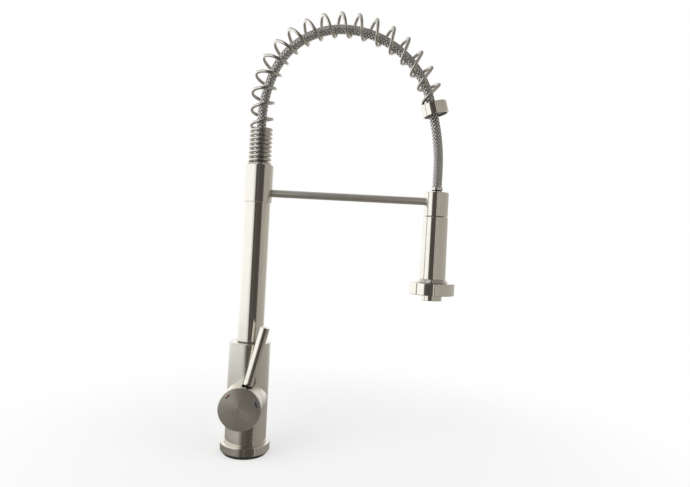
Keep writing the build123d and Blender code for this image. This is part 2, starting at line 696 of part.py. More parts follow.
def lower_ferrule():
    return tube(FERRULE_R, HOSE_R + FIT_CLEARANCE, HOSE_FOOT, HOSE_FOOT + FERRULE_H)


def column_tube():
    column = tube(COLUMN_R, COLUMN_BORE_R, COLUMN_BOTTOM, COLUMN_TOP)
    hole = rod(ARM_STUD_R + FIT_CLEARANCE, COLUMN_BORE_R - OVERRUN, COLUMN_R + OVERRUN)
    return column - Pos(0, 0, ARM_Z) * Rot(0, 90, 0) * hole


def collar():
    lip_r = CLOSE_MEAN_R + WIRE_R + RUN_CLEARANCE
    lip_z = COLLAR_TOP - COLLAR_LIP_H
    outline = [
        (SLEEVE_BORE_R, COLLAR_BOTTOM),
        (COLLAR_R - COLLAR_EDGE, COLLAR_BOTTOM),
        (COLLAR_R, COLLAR_BOTTOM + COLLAR_EDGE),
        (COLLAR_R, COLLAR_TOP - COLLAR_CHAMFER),
        (COLLAR_R - COLLAR_CHAMFER, COLLAR_TOP),
        (lip_r, COLLAR_TOP),
        (lip_r, lip_z),
        (SLEEVE_BORE_R, lip_z),
    ]
    sleeve = turned(outline)
    hole = rod(ARM_STUD_R + FIT_CLEARANCE, COLUMN_R - OVERRUN, COLLAR_R + OVERRUN)
    spot = rod(ARM_R + FIT_CLEARANCE, COLLAR_FAR_X, COLLAR_R + OVERRUN)
    sleeve -= Pos(0, 0, ARM_Z) * Rot(0, 90, 0) * (hole + spot)
    screw = rod(BODY_SCREW_R + FIT_CLEARANCE, COLUMN_R - OVERRUN, COLLAR_R + OVERRUN)
    return sleeve - Pos(0, 0, ARM_Z) * Rot(-90, 0, 0) * screw


def collar_screw():
    near = COLUMN_R + FIT_CLEARANCE / 2
    screw = rod(BODY_SCREW_R, near, COLLAR_R - COLLAR_EDGE)
    screw -= rod(SCREW_SOCKET_R, COLLAR_R - 2 * COLLAR_EDGE, COLLAR_R + OVERRUN)
    return Pos(0, 0, ARM_Z) * Rot(-90, 0, 0) * screw


def spring_seat():
    seat = rod(COLUMN_R, COLUMN_TOP, SEAT_Z)
    seat += rod(COLUMN_BORE_R - FIT_CLEARANCE, COLUMN_TOP - SEAT_SPIGOT_H, COLUMN_TOP)
    bore = HOSE_R + SEAT_BORE_CLEARANCE
    return seat - rod(bore, COLUMN_TOP - SEAT_SPIGOT_H - OVERRUN, SEAT_Z + OVERRUN)


# Spring

def arch_place(run):
    """A point of the spring's centre line and its direction, by distance from the seat."""
    upright = ARCH_TOP - ARCH_INNER_R - SEAT_Z
    rise = ARCH_INNER_R * math.pi / 2
    fall = ARCH_OUTER_R * math.radians(90 - END_TILT)
    if run < upright:
        return Vector(0, 0, SEAT_Z + run), Vector(0, 0, 1)
    run -= upright
    if run < rise:
        angle = run / ARCH_INNER_R
        x = ARCH_INNER_R * (1 - math.cos(angle))
        z = ARCH_TOP - ARCH_INNER_R * (1 - math.sin(angle))
        return Vector(x, 0, z), Vector(math.sin(angle), 0, math.cos(angle))
    run -= rise
    if run < fall:
        angle = run / ARCH_OUTER_R
        x = ARCH_INNER_R + ARCH_OUTER_R * math.sin(angle)
        z = ARCH_TOP - ARCH_OUTER_R * (1 - math.cos(angle))
        return Vector(x, 0, z), Vector(math.cos(angle), 0, -math.sin(angle))
    run -= fall
    heading = Vector(END_TILT_SIN, 0, -END_TILT_COS)
    x = ARCH_INNER_R + ARCH_OUTER_R * END_TILT_COS
    z = ARCH_TOP - ARCH_OUTER_R * (1 - END_TILT_SIN)
    return Vector(x, 0, z) + heading * run, heading


ALL_TURNS = CLOSE_TURNS + CHANGE_TURNS + OPEN_TURNS


def eased(value):
    """Zero below nought, one above one, and straight between them."""
    return min(max(value, 0), 1)


def wire_run(turn):
    """Distance along the centre line after so many turns, from the first turn."""
    run = CLOSE_PITCH * min(turn, CLOSE_TURNS)
    change = eased((turn - CLOSE_TURNS) / CHANGE_TURNS) * CHANGE_TURNS
    run += CLOSE_PITCH * change
    run += (OPEN_PITCH - CLOSE_PITCH) * change * change / (2 * CHANGE_TURNS)
    run += OPEN_PITCH * max(turn - CLOSE_TURNS - CHANGE_TURNS, 0)
    run += STRETCH_PITCH * max(turn - ALL_TURNS + STRETCH_TURNS, 0)
    return run


def wire_mean_r(turn):
    """Mean radius of the winding after so many turns."""
    swell = eased((turn - CLOSE_TURNS) / SWELL_TURNS)
    shrink = eased((turn - ALL_TURNS + END_TURNS + TAPER_TURNS) / TAPER_TURNS)
    close_in = eased((turn - ALL_TURNS + END_TURNS) / END_TURNS)
    radius = CLOSE_MEAN_R + (OPEN_MEAN_R - CLOSE_MEAN_R) * swell
    radius += (TAPER_MEAN_R - OPEN_MEAN_R) * shrink
    return radius + (END_MEAN_R - TAPER_MEAN_R) * close_in


def wire_place(turn, first_run):
    """A point of the wire's centre line."""
    angle = 2 * math.pi * turn + math.radians(START_ANGLE)
    lean = LEAN_END * eased((turn - ALL_TURNS + LEAN_TURNS) / LEAN_TURNS)
    run = first_run + wire_run(turn) - lean * math.cos(angle)
    point, heading = arch_place(run)
    outward = Vector(-heading.Z, 0, heading.X)
    across = heading.cross(outward)
    radius = wire_mean_r(turn)
    return point + outward * (radius * math.cos(angle)) + across * (radius * math.sin(angle))


def wire_heading(turn, first_run):
    """The wire's direction, from two points close together."""
    step = 1 / HEADING_STEPS_PER_TURN
    return (wire_place(turn + step, first_run) - wire_place(turn - step, first_run)).normalized()


def corner_reach(heading, axis):
    """How far the wire's bend reaches from its corner, along each side."""
    return WIRE_BEND_R * math.tan(math.radians(heading.get_angle(axis)) / 2)


def biarc(start, start_heading, end, end_heading):
    """Two arcs that join two points with a given direction at each."""
    chord = end - start
    both = start_heading + end_heading
    spread = 2 * (1 - start_heading.dot(end_heading))
    along = chord.dot(both)
    reach = (math.sqrt(along * along + spread * chord.dot(chord)) - along) / spread
    middle = (start + start_heading * reach + end - end_heading * reach) * 0.5
    middle_heading = (end - end_heading * reach - start - start_heading * reach).normalized()
    return [
        Edge.make_tangent_arc(start, start_heading, middle),
        Edge.make_tangent_arc(middle, middle_heading, end),
    ]


def first_wire_run():
    """Where the winding starts, one wire's width and one bend above the seat."""
    up = Vector(0, 0, 1)
    heading = wire_heading(0, ARCH_INNER_R / 2)
    reach = corner_reach(heading, up)
    return 2 * WIRE_R + reach * (1 + heading.dot(up))


def wire_ends():
    """The straight start and end of the wire, as (foot, bend) and (bend, tip)."""
    first_run = first_wire_run()
    up = Vector(0, 0, 1)
    start_heading = wire_heading(0, first_run)
    reach = corner_reach(start_heading, up)
    start_bend = wire_place(0, first_run) - (start_heading + up) * reach
    down = arch_place(first_run + wire_run(ALL_TURNS))[1]
    end_heading = wire_heading(ALL_TURNS, first_run)
    reach = corner_reach(end_heading, down)
    end_bend = wire_place(ALL_TURNS, first_run) + (end_heading + down) * reach
    return (start_bend - up * (2 * WIRE_R), start_bend), (end_bend, end_bend + down * (2 * WIRE_R))


def wire_path():
    first_run = first_wire_run()
    steps = round(ALL_TURNS * BIARCS_PER_TURN)
    turns = [ALL_TURNS * step / steps for step in range(steps + 1)]
    places = [wire_place(turn, first_run) for turn in turns]
    headings = [wire_heading(turn, first_run) for turn in turns]
    (foot, start_bend), (end_bend, tip) = wire_ends()
    edges = [Edge.make_line(foot, start_bend)]
    edges.append(Edge.make_tangent_arc(start_bend, start_bend - foot, places[0]))
    for index in range(steps):
        edges += biarc(places[index], headings[index], places[index + 1], headings[index + 1])
    edges.append(Edge.make_tangent_arc(places[-1], headings[-1], end_bend))
    edges.append(Edge.make_line(end_bend, tip))
    return edges


def spring():
    edges = wire_path()
    foot = edges[0].position_at(0)
    section = Plane(origin=foot, z_dir=(0, 0, 1)) * Circle(WIRE_R)
    return sweep(section, path=Wire(edges))


def spring_gap():
    """The least gap between the wire's turns, measured on points of its centre line."""
    first_run = first_wire_run()
    per_turn = GAP_POINTS_PER_TURN
    count = int(ALL_TURNS * per_turn)
    points = [wire_place(index / per_turn, first_run) for index in range(count)]
    least = OPEN_PITCH
    for index, point in enumerate(points):
        for other in points[index + per_turn // 2:index + 2 * per_turn]:
            least = min(least, (other - point).length)
    return least - 2 * WIRE_R


# Ring at the spring's end

def end_ring_place():
    """The frame of the ring: its origin is on the spring's centre line, at the wire's tip."""
    tip = wire_ends()[1][1]
    upright = ARCH_TOP - ARCH_INNER_R - SEAT_Z
    last_bend = upright + ARCH_INNER_R * math.pi / 2 + ARCH_OUTER_R * math.radians(90 - END_TILT)
    start, heading = arch_place(last_bend)
    centre = start + heading * (tip - start).dot(heading)
    return Plane(origin=centre, x_dir=(heading.Z, 0, -heading.X), z_dir=heading)


def hose_offset_at_liner():
    """How far the hose's centre lies from the ring's axis, across the ring."""
    place = end_ring_place()
    start, heading = hose_slant_start()
    liner_middle = place.origin + place.z_dir * (LINER_H / 2)
    run = (liner_middle - start).dot(heading)
    return (start + heading * run - liner_middle).dot(place.x_dir)


def spring_end_ring():
    low = -LINER_DEPTH
    high = END_RING_H - LINER_DEPTH
    outline = [
        (END_RING_R - END_RING_WALL, low),
        (END_RING_R - END_RING_EDGE, low),
        (END_RING_R, low + END_RING_EDGE),
        (END_RING_R, high - END_RING_EDGE),
        (END_RING_R - END_RING_EDGE, high),
        (END_RING_R - END_RING_WALL, high),
    ]
    return end_ring_place() * turned(outline)


def ring_liner():
    liner = rod(END_RING_R - END_RING_WALL - FIT_CLEARANCE, 0, LINER_H)
    hole = rod(HOSE_R + RUN_CLEARANCE, -OVERRUN, LINER_H + OVERRUN)
    return end_ring_place() * (liner - Pos(hose_offset_at_liner(), 0, 0) * hole)


# Hose

def hose_slant_start():
    """Where the hose leaves the arch, and its direction from there."""
    x = ARCH_INNER_R + HOSE_SHOULDER_R * END_TILT_COS
    z = ARCH_TOP - HOSE_DROP_AT_TOP - HOSE_SHOULDER_R * (1 - END_TILT_SIN)
    return Vector(x, 0, z), Vector(END_TILT_SIN, 0, -END_TILT_COS)


def hose_path():
    foot = Vector(0, 0, HOSE_FOOT)
    arch_centre = Vector(ARCH_INNER_R, 0, ARCH_TOP - ARCH_INNER_R)
    ease_centre = Vector(HOSE_EASE_R, 0, arch_centre.Z - HOSE_EASE_RISE)
    ease_start = Vector(0, 0, ease_centre.Z)
    arch_start = arch_centre + (arch_centre - ease_centre).normalized() * HOSE_ARCH_R
    inward = (ease_centre - arch_start).normalized()
    arch_heading = Vector(-inward.Z, 0, inward.X)
    crest = Vector(ARCH_INNER_R, 0, ARCH_TOP - HOSE_DROP_AT_TOP)
    slant_start, heading = hose_slant_start()
    slant_end = slant_start + heading * HOSE_SLANT
    plumb = Vector(HEAD_X, 0, slant_end.Z - HOSE_RETURN_R * END_TILT_SIN)
    return [
        Edge.make_line(foot, ease_start),
        Edge.make_tangent_arc(ease_start, Vector(0, 0, 1), arch_start),
        Edge.make_tangent_arc(arch_start, arch_heading, crest),
        Edge.make_tangent_arc(crest, Vector(1, 0, 0), slant_start),
        Edge.make_line(slant_start, slant_end),
        Edge.make_tangent_arc(slant_end, heading, plumb),
        Edge.make_line(plumb, Vector(HEAD_X, 0, HOSE_END)),
    ]


def hose():
    section = Plane(origin=(0, 0, HOSE_FOOT), z_dir=(0, 0, 1)) * (Circle(HOSE_R) - Circle(HOSE_BORE_R))
    return sweep(section, path=Wire(hose_path()))


# Arm and holder

def arm_rod():
    arm = rod(ARM_R, COLLAR_FAR_X, HOLDER_NEAR_X)
    arm += rod(ARM_STUD_R, COLLAR_FAR_X - ARM_STUD_LENGTH, HOLDER_NEAR_X + ARM_SINK)
    return Pos(0, 0, ARM_Z) * Rot(0, 90, 0) * arm


def holder():
    outline = [
        (HOLDER_BORE_R, HOLDER_BOTTOM),
        (HOLDER_R, HOLDER_BOTTOM),
        (HOLDER_R, HOLDER_TOP - HOLDER_EDGE),
        (HOLDER_R - HOLDER_EDGE, HOLDER_TOP),
        (HOLDER_BORE_R, HOLDER_TOP),
    ]
    body = Pos(HEAD_X, 0, 0) * turned(outline)
    spot = rod(ARM_R + FIT_CLEARANCE, HOLDER_NEAR_X - OVERRUN, HOLDER_NEAR_X)
    hole = rod(ARM_STUD_R + FIT_CLEARANCE, HOLDER_NEAR_X - OVERRUN, HOLDER_NEAR_X + ARM_SINK + FACE_GAP)
    return body - Pos(0, 0, ARM_Z) * Rot(0, 90, 0) * (spot + hole)


def holder_liner():
    top = HOLDER_TOP - HOLDER_LINER_RECESS
    liner = tube(HOLDER_BORE_R - FIT_CLEARANCE, HOLDER_LINER_BORE_R, HOLDER_BOTTOM, top)
    return Pos(HEAD_X, 0, 0) * liner


# Spray head: the pieces on the hose's end

def hose_ferrule():
    return Pos(HEAD_X, 0, 0) * tube(FERRULE_R, HOSE_R + FIT_CLEARANCE, FERRULE_TOP - FERRULE_H, FERRULE_TOP)


def hose_tail():
    tail = rod(TAIL_R, TAIL_BOTTOM, TAIL_TOP - FACE_GAP)
    tail += rod(HOSE_BORE_R - FIT_CLEARANCE, TAIL_TOP - FACE_GAP, TAIL_TOP + TAIL_BARB)
    bore = rod(HOSE_BORE_R / 2, TAIL_BOTTOM - OVERRUN, TAIL_TOP + TAIL_BARB + OVERRUN)
    return Pos(HEAD_X, 0, 0) * (tail - bore)


# Spray head: the pieces that turn on the hose's end

def connector_nut():
    top = CONNECTOR_BOTTOM + CONNECTOR_H
    nut = rod(CONNECTOR_R, CONNECTOR_BOTTOM, top)
    nut -= rod(CONNECTOR_BORE_R, CONNECTOR_BOTTOM - OVERRUN, TAIL_TOP)
    nut -= rod(HOSE_R + RUN_CLEARANCE, TAIL_TOP - OVERRUN, top + OVERRUN)
    return Pos(HEAD_X, 0, 0) * nut


def connector_washer():
    top = TAIL_BOTTOM - FACE_GAP
    return Pos(HEAD_X, 0, 0) * tube(WATERWAY_R, WATERWAY_BORE_R, WATERWAY_TOP, top)


def inner_waterway():
    outline = [
        (WATERWAY_BORE_R, WATERWAY_BOTTOM),
        (WATERWAY_R, WATERWAY_BOTTOM),
        (WATERWAY_R, NECK_TOP),
        (WATERWAY_FLANGE_R, NECK_TOP),
        (WATERWAY_FLANGE_R, NECK_TOP + WATERWAY_FLANGE_H),
        (WATERWAY_R, NECK_TOP + WATERWAY_FLANGE_H),
        (WATERWAY_R, WATERWAY_TOP),
        (WATERWAY_BORE_R, WATERWAY_TOP),
    ]
    return Pos(HEAD_X, 0, 0) * turned(outline)


def spray_barrel():
    outline = [
        (CONNECTOR_R + FIT_CLEARANCE, BARREL_TOP - BARREL_CAP_H),
        (CONNECTOR_R + FIT_CLEARANCE, BARREL_TOP),
        (BARREL_TOP_R - BARREL_EDGE, BARREL_TOP),
        (BARREL_TOP_R, BARREL_TOP - BARREL_EDGE),
        (BARREL_BOTTOM_R, NECK_TOP),
        (BARREL_BOTTOM_R - BARREL_WALL, NECK_TOP),
        (BARREL_TOP_R - BARREL_WALL, BARREL_TOP - BARREL_CAP_H),
    ]
    return Pos(HEAD_X, 0, 0) * turned(outline)


def neck_ring():
    outline = [
        (WATERWAY_R + FIT_CLEARANCE, NECK_BOTTOM),
        (NECK_FOOT_R, NECK_BOTTOM),
        (BARREL_BOTTOM_R, NECK_TOP),
        (WATERWAY_R + FIT_CLEARANCE, NECK_TOP),
    ]
    return Pos(HEAD_X, 0, 0) * turned(outline)


def aerator_housing():
    outline = [
        (AERATOR_BORE_R, AERATOR_BOTTOM),
        (AERATOR_R - AERATOR_EDGE, AERATOR_BOTTOM),
        (AERATOR_R, AERATOR_BOTTOM + AERATOR_EDGE),
        (AERATOR_R, AERATOR_ROOF),
        (WATERWAY_R + THREAD_CLEARANCE, AERATOR_ROOF),
        (WATERWAY_R + THREAD_CLEARANCE, WATERWAY_BOTTOM),
        (AERATOR_BORE_R, WATERWAY_BOTTOM),
    ]
    return Pos(HEAD_X, 0, 0) * turned(outline)


def aerator_insert():
    low = AERATOR_BOTTOM + INSERT_RECESS
    insert_r = AERATOR_BORE_R - FIT_CLEARANCE
    insert = rod(insert_r, low, low + INSERT_H)
    hole = rod(INSERT_HOLE_R, low - OVERRUN, low + INSERT_H + OVERRUN)
    for share, count in zip(INSERT_RING_SHARES, INSERT_HOLE_COUNTS):
        insert -= [place * hole for place in PolarLocations(insert_r * share, count)]
    return Pos(HEAD_X, 0, 0) * insert


# Spray head: the disc that turns to change the spray

def spray_disc():
    outline = [
        (WATERWAY_R + FIT_CLEARANCE, SPRAY_DISC_TOP - SPRAY_DISC_ROOF),
        (WATERWAY_R + FIT_CLEARANCE, SPRAY_DISC_TOP),
        (SPRAY_DISC_R - SPRAY_DISC_EDGE, SPRAY_DISC_TOP),
        (SPRAY_DISC_R, SPRAY_DISC_TOP - SPRAY_DISC_EDGE),
        (SPRAY_DISC_R, DISC_BOTTOM + SPRAY_DISC_EDGE),
        (SPRAY_DISC_R - SPRAY_DISC_EDGE, DISC_BOTTOM),
        (DISC_INNER_R, DISC_BOTTOM),
        (DISC_INNER_R, SPRAY_DISC_TOP - SPRAY_DISC_ROOF),
    ]
    return Pos(HEAD_X, 0, 0) * turned(outline)


def nozzle_places():
    places = []
    for share, count in zip(NOZZLE_RING_SHARES, NOZZLE_COUNTS):
        radius = AERATOR_R + (DISC_INNER_R - AERATOR_R) * share
        places += list(PolarLocations(radius, count))
    return places


def nozzle_plate():
    low = DISC_BOTTOM + PLATE_RECESS
    plate = tube(DISC_INNER_R - FIT_CLEARANCE, AERATOR_R + RUN_CLEARANCE, low, low + PLATE_H)
    hole = rod(NOZZLE_R + FIT_CLEARANCE, low - OVERRUN, low + PLATE_H + OVERRUN)
    plate -= [place * hole for place in nozzle_places()]
    return Pos(HEAD_X, 0, 0) * plate


def spray_nozzles():
    low = DISC_BOTTOM + PLATE_RECESS
    nozzle = rod(NOZZLE_R, low, low + PLATE_H) + taper(NOZZLE_TIP_R, NOZZLE_R, low - NOZZLE_PROUD, low)
    nozzles = [Pos(HEAD_X, 0, 0) * place * nozzle for place in nozzle_places()]
    return Compound(children=nozzles)


PIECES = [
    deck_gasket,
    base_flange,
    mounting_shank,
    clamp_rubber_washer,
    clamp_steel_washer,
    mounting_nut,
    lower_body,
    cartridge_body,
    cartridge_seals,
    fixed_disc,
    moving_disc,
    disc_carrier,
    cartridge_spindle,
    stem_pivot_pin,
    cartridge_nut,
    cap_guide_ring,
    cap_oring,
    handle_cap,
    hot_mark,
    cold_mark,
    cartridge_stem,
    handle_block,
    handle_set_screw,
    lever_rod,
    swivel_washer,
    swivel_spigot,
    spigot_orings,
    body_screw,
    hose_adapter,
    lower_ferrule,
    column_tube,
    collar,
    collar_screw,
    spring_seat,
    spring,
    spring_end_ring,
    ring_liner,
    hose,
    arm_rod,
    holder,
    holder_liner,
    hose_ferrule,
    hose_tail,
    connector_nut,
    connector_washer,
    inner_waterway,
    spray_barrel,
    neck_ring,
    aerator_housing,
    aerator_insert,
    spray_disc,
    nozzle_plate,
    spray_nozzles,
]

os.makedirs("parts", exist_ok=True)
for piece in PIECES:
    export_step(piece(), f"parts/{piece.__name__}.step")

print(f"hose length {sum(edge.length for edge in hose_path()):.1f} mm")
print(f"hose radii {HOSE_ARCH_R:.1f} {HOSE_SHOULDER_R:.1f} {HOSE_RETURN_R:.1f} mm")
print(f"least gap between the spring's turns {spring_gap():.2f} mm")
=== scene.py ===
import math

import bmesh
import bpy
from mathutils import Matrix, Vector


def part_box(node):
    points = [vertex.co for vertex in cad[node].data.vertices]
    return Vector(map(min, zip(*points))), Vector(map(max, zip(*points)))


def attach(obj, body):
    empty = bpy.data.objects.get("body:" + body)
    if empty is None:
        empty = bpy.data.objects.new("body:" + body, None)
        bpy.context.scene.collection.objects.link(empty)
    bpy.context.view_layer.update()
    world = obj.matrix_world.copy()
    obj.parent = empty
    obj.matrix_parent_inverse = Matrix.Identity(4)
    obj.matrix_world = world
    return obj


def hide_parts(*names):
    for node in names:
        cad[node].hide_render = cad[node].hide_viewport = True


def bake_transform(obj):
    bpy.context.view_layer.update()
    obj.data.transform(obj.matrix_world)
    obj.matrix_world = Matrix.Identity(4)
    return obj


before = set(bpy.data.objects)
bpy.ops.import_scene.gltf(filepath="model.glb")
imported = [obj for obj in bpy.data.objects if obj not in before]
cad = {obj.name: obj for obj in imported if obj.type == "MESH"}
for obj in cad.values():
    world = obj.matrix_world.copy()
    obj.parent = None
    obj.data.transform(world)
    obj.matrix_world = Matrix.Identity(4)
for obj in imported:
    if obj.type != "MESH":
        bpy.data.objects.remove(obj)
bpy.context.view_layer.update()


# The view: a level camera 0.6 m in front of the column and a little to its right,
# turned three degrees about its own line of sight. Places are in millimetres.
MM = 0.001
PHOTO_WIDTH = 690
FOCAL_PIXELS = 549
SENSOR = 36
CAMERA_PLACE = (97, -595, 231)
CAMERA_ROLL = -3

eye = bpy.data.cameras.new("view")
eye.sensor_width = SENSOR
eye.lens = SENSOR * FOCAL_PIXELS / PHOTO_WIDTH
eye.clip_start = 0.02
eye.clip_end = 60
camera = bpy.data.objects.new("view", eye)
camera.location = [place * MM for place in CAMERA_PLACE]
camera.rotation_euler = (math.radians(90), math.radians(CAMERA_ROLL), 0)
bpy.context.scene.collection.objects.link(camera)
bpy.context.scene.camera = camera
bpy.context.scene.view_settings.view_transform = "Standard"


# The room: an even white surround for what the camera and the metal see, and a plainer
# level of the same light for what it falls on. One small function adds every node below.
def add(tree, kind, inputs=None, **settings):
    """Adds one node. An input is a value, an output, or a node for its first output."""
    node = tree.nodes.new(kind)
    for name, value in settings.items():
        setattr(node, name, value)
    for socket, value in (inputs or {}).items():
        if isinstance(value, bpy.types.Node):
            value = value.outputs[0]
        if isinstance(value, bpy.types.NodeSocket):
            tree.links.new(value, node.inputs[socket])
        else:
            node.inputs[socket].default_value = value
    return node


def ink(code):
    """An sRGB hex colour as the linear colour that a shader takes."""
    levels = [int(code[at:at + 2], 16) / 255 for at in (1, 3, 5)]
    return [c / 12.92 if c <= 0.04045 else ((c + 0.055) / 1.055) ** 2.4 for c in levels] + [1]


room = bpy.data.worlds.new("white_room")
bpy.context.scene.world = room
room.use_nodes = True
air = room.node_tree
air.nodes.clear()
ray = add(air, "ShaderNodeLightPath")
seen = ray.outputs["Is Camera Ray"]
for kind in ("Is Glossy Ray", "Is Transmission Ray"):
    seen = add(air, "ShaderNodeMath", {0: seen, 1: ray.outputs[kind]}, operation="ADD", use_clamp=True)
    seen = seen.outputs[0]
fill = add(air, "ShaderNodeBackground", {"Color": ink("#F6F7F9"), "Strength": 0.62})
white = add(air, "ShaderNodeBackground", {"Color": ink("#FFFFFF"), "Strength": 1.0})
both = add(air, "ShaderNodeMixShader", {0: seen, 1: fill, 2: white})
add(air, "ShaderNodeOutputWorld", {"Surface": both})


# The floor: a smooth table in flat white paint. Near the faucet nearly half of what shows
# is the paint, which holds the faucet's shadow; further out it is the white of the room.
def cleared(name):
    """A new material and its empty tree."""
    material = bpy.data.materials.new(name)
    material.use_nodes = True
    material.node_tree.nodes.clear()
    return material, material.node_tree


def mesh_piece(name, points, faces, material, smooth=False):
    """A mesh object at the origin, its place in its points, which are in millimetres."""
    mesh = bpy.data.meshes.new(name)
    mesh.from_pydata([Vector(point) * MM for point in points], [], faces)
    mesh.materials.append(material)
    mesh.polygons.foreach_set("use_smooth", [smooth] * len(faces))
    piece = bpy.data.objects.new(name, mesh)
    bpy.context.scene.collection.objects.link(piece)
    return piece


FLOOR_REACH = 30000
SHADOW_MIDDLE = 100
SHADOW_REACH = 120
WHITE_FROM = 500
LEAST_WHITE = 0.55
floor_paint, paint = cleared("white_floor")
place = add(paint, "ShaderNodeTexCoord")
shift = (-SHADOW_MIDDLE * MM, 0, 0)
middle = add(paint, "ShaderNodeMapping", {"Vector": place.outputs["Object"], "Location": shift})
distance = add(paint, "ShaderNodeVectorMath", {0: middle}, operation="LENGTH")
fade = {"From Min": SHADOW_REACH * MM, "From Max": WHITE_FROM * MM, "To Min": LEAST_WHITE}
fade["Value"] = distance.outputs["Value"]
away = add(paint, "ShaderNodeMapRange", fade, interpolation_type="SMOOTHSTEP")
ray = add(paint, "ShaderNodeLightPath")
lit = add(paint, "ShaderNodeMath", {0: away, 1: ray.outputs["Is Camera Ray"]}, operation="MULTIPLY")
matt = add(paint, "ShaderNodeBsdfDiffuse", {"Color": ink("#F4F4F2"), "Roughness": 0.6})
glow = add(paint, "ShaderNodeEmission", {"Color": ink("#FFFFFF"), "Strength": 1.0})
both = add(paint, "ShaderNodeMixShader", {0: lit, 1: matt, 2: glow})
add(paint, "ShaderNodeOutputMaterial", {"Surface": both})
corners = [(FLOOR_REACH * x, FLOOR_REACH * y, 0) for x, y in ((-1, -1), (1, -1), (1, 1), (-1, 1))]
floor = mesh_piece("floor", corners, [(0, 1, 2, 3)], floor_paint)
floor.visible_glossy = False


# The reflectors: a round light tent, white on the left and grey on the right, and two
# cards close in front, a dark one for the faucet and a grey one for the hub. Only the
# metal sees them, as its dark and light bands; they throw no light on the faucet.
def set_stops(ramp, table):
    """Sets a ramp's stops from (place, level) pairs in rising order; dark ones are warmer."""
    less_green, less_blue = 0.07, 0.16
    stops = ramp.color_ramp.elements
    stops.remove(stops[1])
    for at, (place, level) in enumerate(table):
        stop = stops.new(place) if at else stops[0]
        stop.position = place
        dark = 1 - level
        stop.color = (level, level * (1 - less_green * dark), level * (1 - less_blue * dark), 1)


# The tent's levels by angle in degrees, from the back by the left, the front (0) and the
# right to the back: its wall first, then its skirt below the table.
WALL = [(-180, 1.0), (-150, 1.25), (-12, 1.25), (2, 0.75), (10, 0.50), (40, 0.44), (75, 0.45)]
WALL += [(110, 0.50), (140, 0.60), (160, 1.0), (180, 1.0)]
SKIRT = [(-180, 0.24), (-60, 0.24), (-12, 0.30), (10, 0.17), (40, 0.20), (75, 0.30)]
SKIRT += [(135, 0.34), (180, 0.24)]
SKIRT_FOOT, WALL_FOOT = -480, -20
ROOF_FOOT, ROOF_TOP = 900, 1400
ROOF_LEVEL = 0.55
TENT_R = 1500
TENT_FOOT, TENT_TOP = -900, 1600
TENT_SIDES = 60
tent_cloth, paint = cleared("tent_cloth")
place = add(paint, "ShaderNodeTexCoord")
part = add(paint, "ShaderNodeSeparateXYZ", {0: place.outputs["Object"]})
ahead = add(paint, "ShaderNodeMath", {0: part.outputs["Y"], 1: -1}, operation="MULTIPLY")
turn = add(paint, "ShaderNodeMath", {0: part.outputs["X"], 1: ahead}, operation="ARCTAN2")
share = add(paint, "ShaderNodeMapRange", {"Value": turn, "From Min": -math.pi, "From Max": math.pi})
wall = add(paint, "ShaderNodeValToRGB", {0: share})
skirt = add(paint, "ShaderNodeValToRGB", {0: share})
for ramp, table in ((wall, WALL), (skirt, SKIRT)):
    set_stops(ramp, [((angle + 180) / 360, level) for angle, level in table])
rise = {"Value": part.outputs["Z"], "From Min": SKIRT_FOOT * MM, "From Max": WALL_FOOT * MM}
low = add(paint, "ShaderNodeMapRange", rise, interpolation_type="SMOOTHSTEP")
cloth = add(paint, "ShaderNodeMix", {0: low, 6: skirt, 7: wall}, data_type="RGBA")
rise = {"Value": part.outputs["Z"], "From Min": ROOF_FOOT * MM, "From Max": ROOF_TOP * MM}
rise.update({"To Min": 1.0, "To Max": ROOF_LEVEL})
high = add(paint, "ShaderNodeMapRange", rise, interpolation_type="SMOOTHSTEP")
glow = add(paint, "ShaderNodeEmission", {"Color": cloth.outputs[2], "Strength": high})
add(paint, "ShaderNodeOutputMaterial", {"Surface": glow})
angles = [2 * math.pi * step / TENT_SIDES for step in range(TENT_SIDES)]
ring = [(TENT_R * math.sin(angle), -TENT_R * math.cos(angle)) for angle in angles]
points = [(x, y, z) for z in (TENT_FOOT, TENT_TOP) for x, y in ring]
faces = [tuple(range(TENT_SIDES)), tuple(range(2 * TENT_SIDES - 1, TENT_SIDES - 1, -1))]
for step in range(TENT_SIDES):
    after = (step + 1) % TENT_SIDES
    faces.append((step, after, TENT_SIDES + after, TENT_SIDES + step))
tent = mesh_piece("light_tent", points, faces, tent_cloth)


def standing_card(name, left, right, foot, top, material):
    """A flat card on its edge between two places on the floor."""
    corners = [(*left, foot), (*right, foot), (*right, top), (*left, top)]
    return mesh_piece(name, corners, [(0, 1, 2, 3)], material)


# The dark card stands slanted. Its levels by x give how solid it is, from an open left
# edge, and how dark, with two pale slits for the thin light lines in the metal.
CARD_LEFT, CARD_LEFT_Y = -185, -280
CARD_RIGHT, CARD_RIGHT_Y = 215, -134
CARD_FOOT, CARD_TOP = -500, 900
SOLID = [(-185, 0.0), (-120, 0.15), (-62, 0.40), (-50, 1.0), (205, 1.0), (207, 0.0)]
LEVEL = [(-185, 0.085), (14, 0.085), (19, 0.15), (29, 0.15), (34, 0.085), (186, 0.085)]
LEVEL += [(187, 0.85), (195, 0.85), (196, 0.24), (206, 0.24)]
card_black, paint = cleared("dark_card")
place = add(paint, "ShaderNodeTexCoord")
part = add(paint, "ShaderNodeSeparateXYZ", {0: place.outputs["Object"]})
width = {"Value": part.outputs["X"], "From Min": CARD_LEFT * MM, "From Max": CARD_RIGHT * MM}
across = add(paint, "ShaderNodeMapRange", width)
solid = add(paint, "ShaderNodeValToRGB", {0: across})
level = add(paint, "ShaderNodeValToRGB", {0: across})
for ramp, table in ((solid, SOLID), (level, LEVEL)):
    set_stops(ramp, [((x - CARD_LEFT) / (CARD_RIGHT - CARD_LEFT), grey) for x, grey in table])
clear = add(paint, "ShaderNodeBsdfTransparent")
glow = add(paint, "ShaderNodeEmission", {"Color": level})
